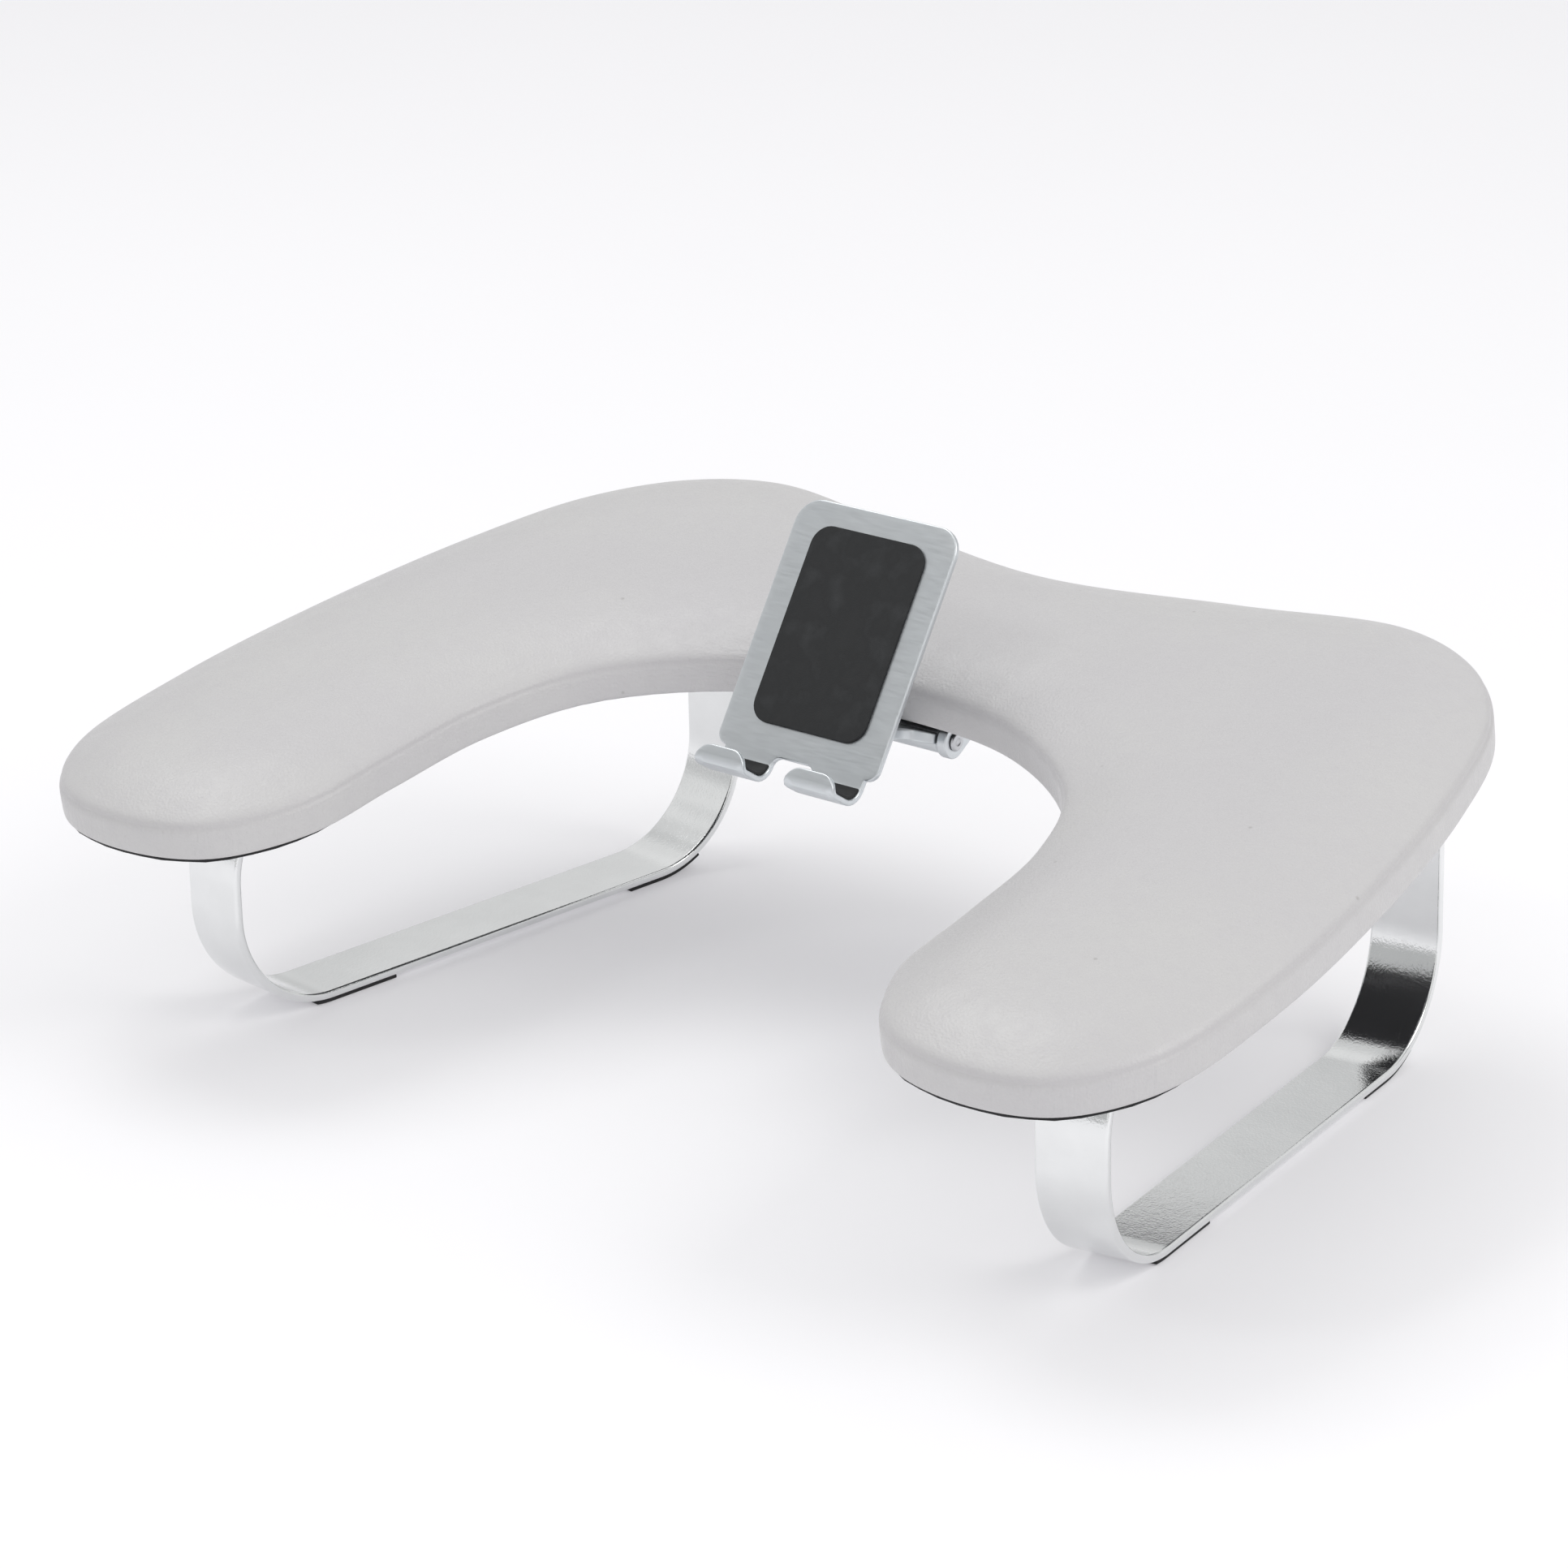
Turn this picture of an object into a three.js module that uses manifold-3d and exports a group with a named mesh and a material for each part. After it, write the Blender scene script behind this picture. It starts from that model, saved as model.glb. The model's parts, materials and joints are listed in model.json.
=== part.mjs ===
// U-shaped arm rest with two flat-bar legs and a folding phone holder.
// Millimetres, +Z up. X runs across the two arms, +Y points to the closed back of the U.
// The origin is on the table, under the middle of the arm rest.

import * as THREE from 'three';
import { mergeVertices } from 'three/addons/utils/BufferGeometryUtils.js';
import Module from 'manifold-3d';

// ---- driving dimensions ----

// Cushion: it leans towards the user, so it has its own tilted frame.
const CUSHION_TILT = THREE.MathUtils.degToRad(7.9);
const UNDERSIDE_HEIGHT = 98.7;
// Moves the whole so that the origin is under the middle of its box.
const FRAME_SHIFT_Y = -2.32;
const OUTLINE_STEPS = 88;
// Right half of the plan outline, from the middle of the inner edge round to the middle of the back.
const HALF_OUTLINE = [
  [0, 43], [53, 36.5], [96, 8], [113, -30], [117, -72], [120, -110], [138, -138], [170, -147],
  [202, -140], [221, -114], [225, -61], [219, 4], [206, 68], [190, 112], [165, 140], [131, 153],
  [72, 143], [0, 132],
];
const CLOTH_THICKNESS = 0.7;
const CLOTH_INSET = 2.5;
const COVER_THICKNESS = 1.2;
const HEM_WIDTH = 16;
const BOARD_THICKNESS = 9;
const FIT_GAP = 0.3;
const REST_GAP = 0.1;
// Cover section: [inset from the outline, height above the underside].
const COVER_SECTION = [
  [0.6, 0.8], [0, 2.4], [0, 10.8], [1.2, 12.9], [4, 14.8], [9, 17.1], [18, 20], [30, 21.8],
];

// Legs: flat bar bent into a loop that is open at the top.
const LEG_X = 162;
const LEG_Y = 15;
const LEG_SPLAY = THREE.MathUtils.degToRad(7.5);
const BAR_WIDTH = 25;
const BAR_THICKNESS = 3;
const LEG_LENGTH = 229;
const LEG_BEND_RADIUS = 38;
const LEG_TOP_FRONT_RADIUS = 36;
const LEG_FLANGE_LENGTH = 46;
const LEG_SCREW_INSETS = [12, 34];
const PAD_THICKNESS = 1.5;
const FLANGE_GAP = 0.5;

// Fasteners for the legs.
const SCREW_RADIUS = 2.4;
const SCREW_HEAD_RADIUS = 4.6;
const SCREW_HEAD_HEIGHT = 2.6;
const SCREW_HOLE_RADIUS = 3.2;
const INSERT_RADIUS = 3.9;
const INSERT_BORE_RADIUS = 2.7;
const INSERT_LENGTH = 8.4;

// Phone holder.
const HINGE_Y = 50.7;
const HINGE_DROP = 6.7;
const EAR_RADIUS = 6;
const BRACKET_HALF_WIDTH = 20;
const EAR_THICKNESS = 3.5;
const BRACKET_PLATE_THICKNESS = 3;
const BRACKET_PLATE_START = 6.8;
const BRACKET_PLATE_END = 52;
const BRACKET_SCREWS = [[-12, 20], [12, 20], [-12, 42], [12, 42]];
const PIN_RADIUS = 2.2;
const PIN_HEAD_RADIUS = 3.3;
const PIN_HEAD_HEIGHT = 0.8;
const PIN_HOLE_RADIUS = 2.5;
const WASHER_THICKNESS = 0.6;
const ARM_LENGTH = 45;
const ARM_THICKNESS = 4;
const ARM_RISE = THREE.MathUtils.degToRad(16.3);
const ARM_WAIST_HALF_WIDTH = 8;
const LOWER_KNUCKLE_RADIUS = 5;
const LOWER_KNUCKLE_HALF = 15.6;
const UPPER_KNUCKLE_RADIUS = 5;
const UPPER_KNUCKLE_HALF = 12;
const CRADLE_LEAN = THREE.MathUtils.degToRad(34);
const CRADLE_EAR_THICKNESS = 3;
const CRADLE_STANDOFF = 8;
const CRADLE_SHEET = 2;
const CRADLE_WIDTH = 66;
const CRADLE_TOP = 72;
const CRADLE_BOTTOM = -24;
const CRADLE_CORNER = 9;
const HOOK_SHEET = 1.9;
const HOOK_WIDTH = 20.5;
const HOOK_PITCH = 37;
const HOOK_DEPTH = 16;
const HOOK_HEIGHT = 7;
const HOOK_BACK_RADIUS = 7;
const HOOK_FRONT_RADIUS = 4;
const LINER_THICKNESS = 1;
const FACE_PAD = { width: 46, bottom: -4, top: 64, corner: 7, thickness: 1 };

// ---- materials ----

function material(color, roughness, metalness) {
  return new THREE.MeshStandardMaterial({ color, roughness, metalness });
}
const LEATHER = material(0xd2d1d2, 0.5, 0);
const FOAM = material(0xe9dfc0, 0.95, 0);
const PLYWOOD = material(0xc9a878, 0.75, 0);
const CLOTH = material(0x17181a, 0.95, 0);
const CHROME = material(0xe6e8ea, 0.08, 1);
const RUBBER = material(0x1a1a1b, 0.85, 0);
const STEEL = material(0xb4b8bb, 0.3, 1);
const BRASS = material(0xb5944e, 0.35, 1);
const ALUMINIUM = material(0xbfc6c9, 0.38, 1);
const NYLON = material(0xe2e2dc, 0.6, 0);
const SILICONE = material(0x141516, 0.7, 0);

// ---- solids and booleans ----

const wasm = await Module();
wasm.setup();

function bare(geometry) {
  const plain = geometry.index ? geometry.toNonIndexed() : geometry.clone();
  plain.deleteAttribute('normal');
  plain.deleteAttribute('uv');
  return mergeVertices(plain, 1e-4);
}

function solid(geometry) {
  const merged = bare(geometry);
  const vertProperties = Float32Array.from(merged.attributes.position.array);
  const triVerts = Uint32Array.from(merged.index.array);
  return new wasm.Manifold(new wasm.Mesh({ numProp: 3, vertProperties, triVerts }));
}

function geometryOf(body) {
  const mesh = body.getMesh();
  const geometry = new THREE.BufferGeometry();
  geometry.setAttribute('position', new THREE.BufferAttribute(mesh.vertProperties, 3));
  geometry.setIndex(new THREE.BufferAttribute(mesh.triVerts, 1));
  return geometry;
}

function join(...geometries) {
  return geometries.slice(1).reduce((body, next) => body.add(solid(next)), solid(geometries[0]));
}

function cut(body, geometries) {
  return geometries.reduce((rest, tool) => rest.subtract(solid(tool)), body);
}

const YZX = new THREE.Matrix4().makeBasis(
  new THREE.Vector3(0, 1, 0), new THREE.Vector3(0, 0, 1), new THREE.Vector3(1, 0, 0));

// A section drawn in (y, z) and extruded along X, centred on X = 0.
function sideExtrusion(points, width, holes = []) {
  const shape = new THREE.Shape(points.map(([y, z]) => new THREE.Vector2(y, z)));
  shape.holes = holes;
  const geometry = new THREE.ExtrudeGeometry(shape, { depth: width, bevelEnabled: false, curveSegments: 16 });
  return geometry.translate(0, 0, -width / 2).applyMatrix4(YZX);
}

function roundHole(x, y, radius) {
  const hole = new THREE.Path();
  hole.absarc(x, y, radius, 0, 2 * Math.PI, true);
  return hole;
}

function disc(radius, height, segments = 24) {
  return new THREE.CylinderGeometry(radius, radius, height, segments).rotateX(Math.PI / 2);
}

function shaftAlongX(radius, length, segments = 24) {
  return new THREE.CylinderGeometry(radius, radius, length, segments).rotateZ(Math.PI / 2);
}

function turned(profile, segments = 24) {
  const points = profile.map(([radius, height]) => new THREE.Vector2(radius, height));
  return new THREE.LatheGeometry(points, segments).rotateX(Math.PI / 2);
}

function tube(outer, inner, length, segments = 24) {
  return turned([[inner, 0], [outer, 0], [outer, length], [inner, length], [inner, 0]], segments);
}

// ---- paths with round corners ----

// Corners are [u, v, radius]; the two ends have radius 0.
function roundedPath(corners, stepsPerRadian = 7) {
  const path = [];
  corners.forEach(([u, v, radius], index) => {
    if (!radius) {
      path.push([u, v]);
      return;
    }
    const corner = new THREE.Vector2(u, v);
    const before = new THREE.Vector2(...corners[index - 1]).sub(corner).normalize();
    const after = new THREE.Vector2(...corners[index + 1]).sub(corner).normalize();
    const half = Math.acos(THREE.MathUtils.clamp(before.dot(after), -1, 1)) / 2;
    const side = Math.sign(after.cross(before));
    const centre = before.clone().add(after).normalize().multiplyScalar(radius / Math.sin(half)).add(corner);
    const start = before.multiplyScalar(radius / Math.tan(half)).add(corner).sub(centre);
    const turn = Math.PI - 2 * half;
    const steps = Math.max(3, Math.ceil(turn * stepsPerRadian));
    for (let step = 0; step <= steps; step += 1) {
      const point = start.clone().rotateAround(new THREE.Vector2(), side * turn * step / steps).add(centre);
      path.push([point.x, point.y]);
    }
  });
  return path;
}

function offsetPath(path, distance) {
  return path.map(([u, v], index) => {
    const previous = new THREE.Vector2(...path[Math.max(index - 1, 0)]);
    const next = new THREE.Vector2(...path[Math.min(index + 1, path.length - 1)]);
    const along = next.sub(previous).normalize();
    return [u - along.y * distance, v + along.x * distance];
  });
}

// A strip of even thickness on the left side of a path.
function strip(path, from, to) {
  return [...offsetPath(path, from), ...offsetPath(path, to).reverse()];
}

// ---- cushion ----

function outlineCurve() {
  const right = HALF_OUTLINE.map(([x, y]) => new THREE.Vector3(x, y, 0));
  const left = HALF_OUTLINE.slice(1, -1).reverse().map(([x, y]) => new THREE.Vector3(-x, y, 0));
  return new THREE.CatmullRomCurve3([...right, ...left], true, 'centripetal');
}

const OUTLINE = outlineCurve().getSpacedPoints(OUTLINE_STEPS).slice(0, OUTLINE_STEPS);
const OUTWARD = OUTLINE.map((point, index) => {
  const previous = OUTLINE[(index + OUTLINE_STEPS - 1) % OUTLINE_STEPS];
  const next = OUTLINE[(index + 1) % OUTLINE_STEPS];
  const along = next.clone().sub(previous).normalize();
  return new THREE.Vector3(along.y, -along.x, 0);
});

function ring(inset, height) {
  return OUTLINE.map((point, index) => {
    return point.clone().addScaledVector(OUTWARD[index], -inset).setZ(height);
  });
}

// Closed solid from a stack of rings, each [inset, height], from the lowest to the highest.
function ringSolid(section) {
  const rings = section.map(([inset, height]) => ring(inset, height));
  const positions = rings.flat().flatMap((point) => [point.x, point.y, point.z]);
  const index = [];
  const count = OUTLINE_STEPS;
  for (let band = 0; band < rings.length - 1; band += 1) {
    const low = band * count;
    const high = low + count;
    for (let i = 0; i < count; i += 1) {
      const j = (i + 1) % count;
      index.push(low + i, low + j, high + j, low + i, high + j, high + i);
    }
  }
  [0, rings.length - 1].forEach((level) => {
    const flat = rings[level].map((point) => new THREE.Vector2(point.x, point.y));
    THREE.ShapeUtils.triangulateShape(flat, []).forEach(([a, b, c]) => {
      const corners = orient(rings[level], a, b, c, level > 0);
      index.push(...corners.map((vertex) => vertex + level * count));
    });
  });
  const geometry = new THREE.BufferGeometry();
  geometry.setAttribute('position', new THREE.Float32BufferAttribute(positions, 3));
  geometry.setIndex(index);
  return geometry;
}

function orient(points, a, b, c, facingUp) {
  const ab = points[b].clone().sub(points[a]);
  const ac = points[c].clone().sub(points[a]);
  const up = ab.cross(ac).z > 0;
  return up === facingUp ? [a, b, c] : [a, c, b];
}

// The section moved inwards by a thickness, kept where it is still above a floor height.
function insetSection(section, thickness, floor) {
  const moved = section.map(([inset, height], index) => {
    const before = section[Math.max(index - 1, 0)];
    const after = section[Math.min(index + 1, section.length - 1)];
    const along = new THREE.Vector2(after[0] - before[0], after[1] - before[1]).normalize();
    return [inset + along.y * thickness, height - along.x * thickness];
  });
  return moved.filter(([, height]) => height > floor);
}

// The cover wraps the board and foam and is folded under as a hem; it is open in the middle below.
function leatherCover() {
  const hemTop = COVER_SECTION[0][1] + COVER_THICKNESS;
  const inside = insetSection(COVER_SECTION, COVER_THICKNESS, hemTop);
  const outer = solid(ringSolid(COVER_SECTION));
  const cavity = solid(ringSolid([[COVER_THICKNESS, hemTop], ...inside]));
  const mouth = solid(ringSolid([[HEM_WIDTH, -1], [HEM_WIDTH, hemTop + 1]]));
  return geometryOf(outer.subtract(cavity).subtract(mouth));
}

function boardOutline(inset) {
  return new THREE.Shape(ring(inset, 0).map((point) => new THREE.Vector2(point.x, point.y)));
}

function plateWithHoles(inset, bottom, thickness, holes) {
  const shape = boardOutline(inset);
  shape.holes = holes.map(([x, y, radius]) => roundHole(x, y, radius));
  const options = { depth: thickness, bevelEnabled: false, curveSegments: 8 };
  return new THREE.ExtrudeGeometry(shape, options).translate(0, 0, bottom);
}

const BOARD_BOTTOM = COVER_SECTION[0][1] + COVER_THICKNESS + REST_GAP;
const BOARD_TOP = BOARD_BOTTOM + BOARD_THICKNESS;

function foamPad() {
  const skin = COVER_THICKNESS + FIT_GAP;
  const upper = insetSection(COVER_SECTION, skin, BOARD_TOP + 0.3);
  return ringSolid([[upper[0][0], BOARD_TOP + REST_GAP], ...upper]);
}

// ---- legs ----

const LEG_HALF = LEG_LENGTH / 2;

// Height of the cushion's underside over the table, at a distance u along a splayed leg.
function undersideHeight(u) {
  const y = LEG_Y + u * Math.cos(LEG_SPLAY);
  return UNDERSIDE_HEIGHT + Math.tan(CUSHION_TILT) * y;
}

function legPath() {
  const half = LEG_HALF - BAR_THICKNESS / 2;
  const low = PAD_THICKNESS + BAR_THICKNESS / 2;
  const top = (u) => undersideHeight(u) - FLANGE_GAP - BAR_THICKNESS / 2;
  const frontEnd = -half + LEG_TOP_FRONT_RADIUS + LEG_FLANGE_LENGTH;
  const rearEnd = half - LEG_BEND_RADIUS - LEG_FLANGE_LENGTH;
  return roundedPath([
    [frontEnd, top(frontEnd), 0],
    [-half, top(-half), LEG_TOP_FRONT_RADIUS],
    [-half, low, LEG_BEND_RADIUS],
    [half, low, LEG_BEND_RADIUS],
    [half, top(half), LEG_BEND_RADIUS],
    [rearEnd, top(rearEnd), 0],
  ]);
}

// Screw places along the leg, measured from the tips of the two flanges.
function legScrewPlaces() {
  const path = legPath();
  const front = path[0][0];
  const rear = path[path.length - 1][0];
  return LEG_SCREW_INSETS.flatMap((inset) => [front - inset, rear + inset]);
}

// From a distance u along a leg to the cushion's own tilted frame.
function legPointInCushion(side, u) {
  const x = side * (LEG_X - u * Math.sin(LEG_SPLAY));
  const y = (LEG_Y + u * Math.cos(LEG_SPLAY)) / Math.cos(CUSHION_TILT);
  return [x, y];
}

function legBar() {
  const bar = new THREE.Shape(strip(legPath(), -BAR_THICKNESS / 2, BAR_THICKNESS / 2)
    .map(([u, v]) => new THREE.Vector2(u, v)));
  const rounding = 0.7;
  const options = {
    depth: BAR_WIDTH - 2 * rounding,
    bevelSize: rounding,
    bevelOffset: -rounding,
    bevelThickness: rounding,
    bevelSegments: 1,
  };
  const bent = new THREE.ExtrudeGeometry(bar, options)
    .translate(0, 0, -BAR_WIDTH / 2 + rounding).applyMatrix4(YZX);
  const drills = legScrewPlaces().map((u) => {
    return disc(SCREW_HOLE_RADIUS, 20, 20).rotateX(CUSHION_TILT).translate(0, u, undersideHeight(u));
  });
  return geometryOf(cut(solid(bent), drills));
}

// A rubber strip under the bar; from and to are places along it, the bend counted by its arc.
function footPad(flatLength, bendAngle, end) {
  const half = LEG_HALF - LEG_BEND_RADIUS - BAR_THICKNESS / 2;
  const bar = LEG_BEND_RADIUS + BAR_THICKNESS / 2;
  const centreHeight = PAD_THICKNESS + bar;
  const near = bar + REST_GAP;
  const reach = bar + PAD_THICKNESS;
  const upper = [[half - flatLength, PAD_THICKNESS - REST_GAP]];
  const lower = [[half - flatLength, 0]];
  const steps = 6;
  for (let step = 0; step <= steps; step += 1) {
    const angle = bendAngle * step / steps;
    upper.push([half + near * Math.sin(angle), centreHeight - near * Math.cos(angle)]);
    lower.push([half + reach * Math.sin(angle), centreHeight - reach * Math.cos(angle)]);
  }
  const section = [...lower, ...upper.reverse()].map(([u, v]) => [end * u, v]);
  return sideExtrusion(end > 0 ? section : section.reverse(), BAR_WIDTH - 2);
}

// ---- fasteners ----

function panScrew(radius, length, headRadius, headHeight) {
  return turned([
    [0, length], [radius - 0.6, length], [radius, length - 0.8], [radius, 0],
    [headRadius, 0], [headRadius, -headHeight * 0.45], [headRadius * 0.72, -headHeight], [0, -headHeight],
  ].reverse(), 14);
}

function hexNut(acrossFlats, bore, height) {
  const nut = new THREE.CylinderGeometry(acrossFlats / Math.sqrt(3), acrossFlats / Math.sqrt(3), height, 6);
  const body = cut(solid(nut.rotateZ(Math.PI / 2)), [shaftAlongX(bore, height * 2, 20)]);
  return geometryOf(body);
}

function pivotBolt(shankLength) {
  return turned([
    [0, 0], [PIN_RADIUS, 0], [PIN_RADIUS, shankLength], [PIN_HEAD_RADIUS, shankLength],
    [PIN_HEAD_RADIUS, shankLength + PIN_HEAD_HEIGHT * 0.6],
    [PIN_HEAD_RADIUS * 0.75, shankLength + PIN_HEAD_HEIGHT], [0, shankLength + PIN_HEAD_HEIGHT],
  ], 20).rotateY(Math.PI / 2);
}

function thinWasher(outer) {
  return tube(outer, PIN_HOLE_RADIUS, WASHER_THICKNESS, 24).rotateY(Math.PI / 2);
}

// ---- phone holder ----

const BRACKET_TOP = HINGE_DROP - REST_GAP;

function holderBracket() {
  const plateDepth = BRACKET_PLATE_END - BRACKET_PLATE_START;
  const plate = new THREE.BoxGeometry(2 * BRACKET_HALF_WIDTH, plateDepth, BRACKET_PLATE_THICKNESS)
    .translate(0, BRACKET_PLATE_START + plateDepth / 2, BRACKET_TOP - BRACKET_PLATE_THICKNESS / 2);
  const ears = [-1, 1].map((side) => {
    const round = [];
    for (let step = 0; step <= 12; step += 1) {
      const angle = Math.PI * (0.56 + step / 12);
      round.push([EAR_RADIUS * Math.cos(angle), EAR_RADIUS * Math.sin(angle)]);
    }
    const web = [[24, BRACKET_TOP - BRACKET_PLATE_THICKNESS], [24, BRACKET_TOP - 0.1],
      [BRACKET_PLATE_START, BRACKET_TOP - 0.1]];
    return sideExtrusion([...round, ...web], EAR_THICKNESS)
      .translate(side * (BRACKET_HALF_WIDTH - EAR_THICKNESS / 2), 0, 0);
  });
  const drills = BRACKET_SCREWS.map(([x, y]) => disc(2.1, 20, 16).translate(x, y, HINGE_DROP));
  drills.push(shaftAlongX(PIN_HOLE_RADIUS, 60, 20));
  return geometryOf(cut(join(plate, ...ears), drills));
}

function holderArm() {
  const blend = 12;
  const waist = ARM_WAIST_HALF_WIDTH;
  const outline = new THREE.Shape();
  outline.moveTo(-LOWER_KNUCKLE_HALF, -2);
  outline.lineTo(LOWER_KNUCKLE_HALF, -2);
  outline.lineTo(LOWER_KNUCKLE_HALF, -5);
  outline.quadraticCurveTo(LOWER_KNUCKLE_HALF, -7, waist + 2, -10);
  outline.quadraticCurveTo(waist, -blend, waist, -blend - 4);
  outline.lineTo(waist, -ARM_LENGTH + blend);
  outline.quadraticCurveTo(waist, -ARM_LENGTH + 7, UPPER_KNUCKLE_HALF, -ARM_LENGTH + 4);
  outline.lineTo(UPPER_KNUCKLE_HALF, -ARM_LENGTH + 2);
  outline.lineTo(-UPPER_KNUCKLE_HALF, -ARM_LENGTH + 2);
  outline.lineTo(-UPPER_KNUCKLE_HALF, -ARM_LENGTH + 4);
  outline.quadraticCurveTo(-waist, -ARM_LENGTH + 7, -waist, -ARM_LENGTH + blend);
  outline.lineTo(-waist, -blend - 4);
  outline.quadraticCurveTo(-waist, -blend, -waist - 2, -10);
  outline.quadraticCurveTo(-LOWER_KNUCKLE_HALF, -7, -LOWER_KNUCKLE_HALF, -5);
  outline.closePath();
  const bladeOptions = { depth: ARM_THICKNESS, bevelEnabled: false, curveSegments: 6 };
  const blade = new THREE.ExtrudeGeometry(outline, bladeOptions).translate(0, 0, -ARM_THICKNESS / 2);
  const lower = shaftAlongX(LOWER_KNUCKLE_RADIUS, 2 * LOWER_KNUCKLE_HALF);
  const upper = shaftAlongX(UPPER_KNUCKLE_RADIUS, 2 * UPPER_KNUCKLE_HALF).translate(0, -ARM_LENGTH, 0);
  const drills = [
    shaftAlongX(PIN_HOLE_RADIUS, 60, 20),
    shaftAlongX(PIN_HOLE_RADIUS, 60, 20).translate(0, -ARM_LENGTH, 0),
  ];
  return geometryOf(cut(join(blade, lower, upper), drills));
}

function roundedPanel(width, bottom, top, corner) {
  const half = width / 2;
  const panel = new THREE.Shape();
  panel.moveTo(-half + corner, bottom);
  panel.lineTo(half - corner, bottom);
  panel.absarc(half - corner, bottom + corner, corner, -Math.PI / 2, 0);
  panel.lineTo(half, top - corner);
  panel.absarc(half - corner, top - corner, corner, 0, Math.PI / 2);
  panel.lineTo(-half + corner, top);
  panel.absarc(-half + corner, top - corner, corner, Math.PI / 2, Math.PI);
  panel.lineTo(-half, bottom + corner);
  panel.absarc(-half + corner, bottom + corner, corner, Math.PI, Math.PI * 1.5);
  return panel;
}

// A panel in the X-Z plane whose back is at y = back and which is thick towards -Y.
function facePanel(shape, back, thickness) {
  return new THREE.ExtrudeGeometry(shape, { depth: thickness, bevelEnabled: false, curveSegments: 6 })
    .rotateX(Math.PI / 2).translate(0, back, 0);
}

const CRADLE_BACK = -CRADLE_STANDOFF;
const CRADLE_FACE = CRADLE_BACK - CRADLE_SHEET;
const HOOK_TOP_OF_STEM = CRADLE_BOTTOM + HOOK_BACK_RADIUS + 3;

// Middle line of a hook's sheet: down the plate, forward under the phone and up the lip.
function hookPath() {
  const back = CRADLE_BACK - CRADLE_SHEET / 2;
  const low = CRADLE_BOTTOM + CRADLE_SHEET / 2;
  const front = CRADLE_BACK - HOOK_DEPTH + CRADLE_SHEET / 2;
  return roundedPath([
    [back, HOOK_TOP_OF_STEM + 4, 0],
    [back, low, HOOK_BACK_RADIUS - CRADLE_SHEET / 2],
    [front, low, HOOK_FRONT_RADIUS - CRADLE_SHEET / 2],
    [front, CRADLE_BOTTOM + HOOK_HEIGHT, 0],
  ], 5);
}

function cradlePlate() {
  const panel = facePanel(
    roundedPanel(CRADLE_WIDTH, HOOK_TOP_OF_STEM, CRADLE_TOP, CRADLE_CORNER), CRADLE_BACK, CRADLE_SHEET);
  const hooks = [-1, 1].map((side) => {
    const sheet = strip(hookPath(), -HOOK_SHEET / 2, HOOK_SHEET / 2);
    return sideExtrusion(sheet, HOOK_WIDTH).translate(side * HOOK_PITCH / 2, 0, 0);
  });
  const earInner = UPPER_KNUCKLE_HALF + WASHER_THICKNESS + 0.3;
  const ears = [-1, 1].map((side) => {
    const round = [];
    for (let step = 0; step <= 12; step += 1) {
      const angle = -Math.PI / 2 + Math.PI * step / 12;
      round.push([5.5 * Math.cos(angle), 5.5 * Math.sin(angle)]);
    }
    const foot = [[CRADLE_BACK - 0.5, 9], [CRADLE_BACK - 0.5, -9]];
    return sideExtrusion([...round, ...foot], CRADLE_EAR_THICKNESS)
      .translate(side * (earInner + CRADLE_EAR_THICKNESS / 2), 0, 0);
  });
  return geometryOf(cut(join(panel, ...hooks, ...ears), [shaftAlongX(PIN_HOLE_RADIUS, 60, 20)]));
}

// A thin lining on the inner side of the hook, clear of the plate's face above.
function hookLiner() {
  const inner = CRADLE_SHEET / 2 + 0.02;
  const path = hookPath().slice(1, -1);
  const lipTop = hookPath()[hookPath().length - 1];
  const bed = [...path, [lipTop[0], lipTop[1] - 1]];
  return sideExtrusion(strip(bed, -inner - LINER_THICKNESS, -inner).reverse(), HOOK_WIDTH - 1.5);
}

// ---- assembly ----

function mesh(name, geometry, finish) {
  const part = new THREE.Mesh(geometry, finish);
  part.name = name;
  return part;
}

function at(part, x, y, z) {
  part.position.set(x, y, z);
  return part;
}

const armRest = new THREE.Group();
armRest.position.y = FRAME_SHIFT_Y;
const cushion = new THREE.Group();
cushion.position.z = UNDERSIDE_HEIGHT;
cushion.rotation.x = CUSHION_TILT;
armRest.add(cushion);

const sides = [['left', -1], ['right', 1]];
const screwPlaces = sides.flatMap(([sideName, side]) => {
  return legScrewPlaces().map((u, index) => ({ name: `${sideName}_${index + 1}`, place: legPointInCushion(side, u) }));
});
const bracketPlaces = BRACKET_SCREWS.map(([x, y], index) => {
  return { name: `${index + 1}`, place: [x, HINGE_Y + y] };
});

cushion.add(mesh('leather_cover', leatherCover(), LEATHER));
cushion.add(mesh('foam_pad', foamPad(), FOAM));
cushion.add(mesh('base_board', plateWithHoles(COVER_THICKNESS + FIT_GAP, BOARD_BOTTOM, BOARD_THICKNESS, [
  ...screwPlaces.map(({ place }) => [...place, INSERT_RADIUS + FIT_GAP]),
  ...bracketPlaces.map(({ place }) => [...place, 1.9]),
]), PLYWOOD));
cushion.add(mesh('dust_cloth', plateWithHoles(CLOTH_INSET, 0, CLOTH_THICKNESS, [
  ...screwPlaces.map(({ place }) => [...place, SCREW_RADIUS + FIT_GAP]),
  ...bracketPlaces.map(({ place }) => [...place, 1.9]),
]), CLOTH));

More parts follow.
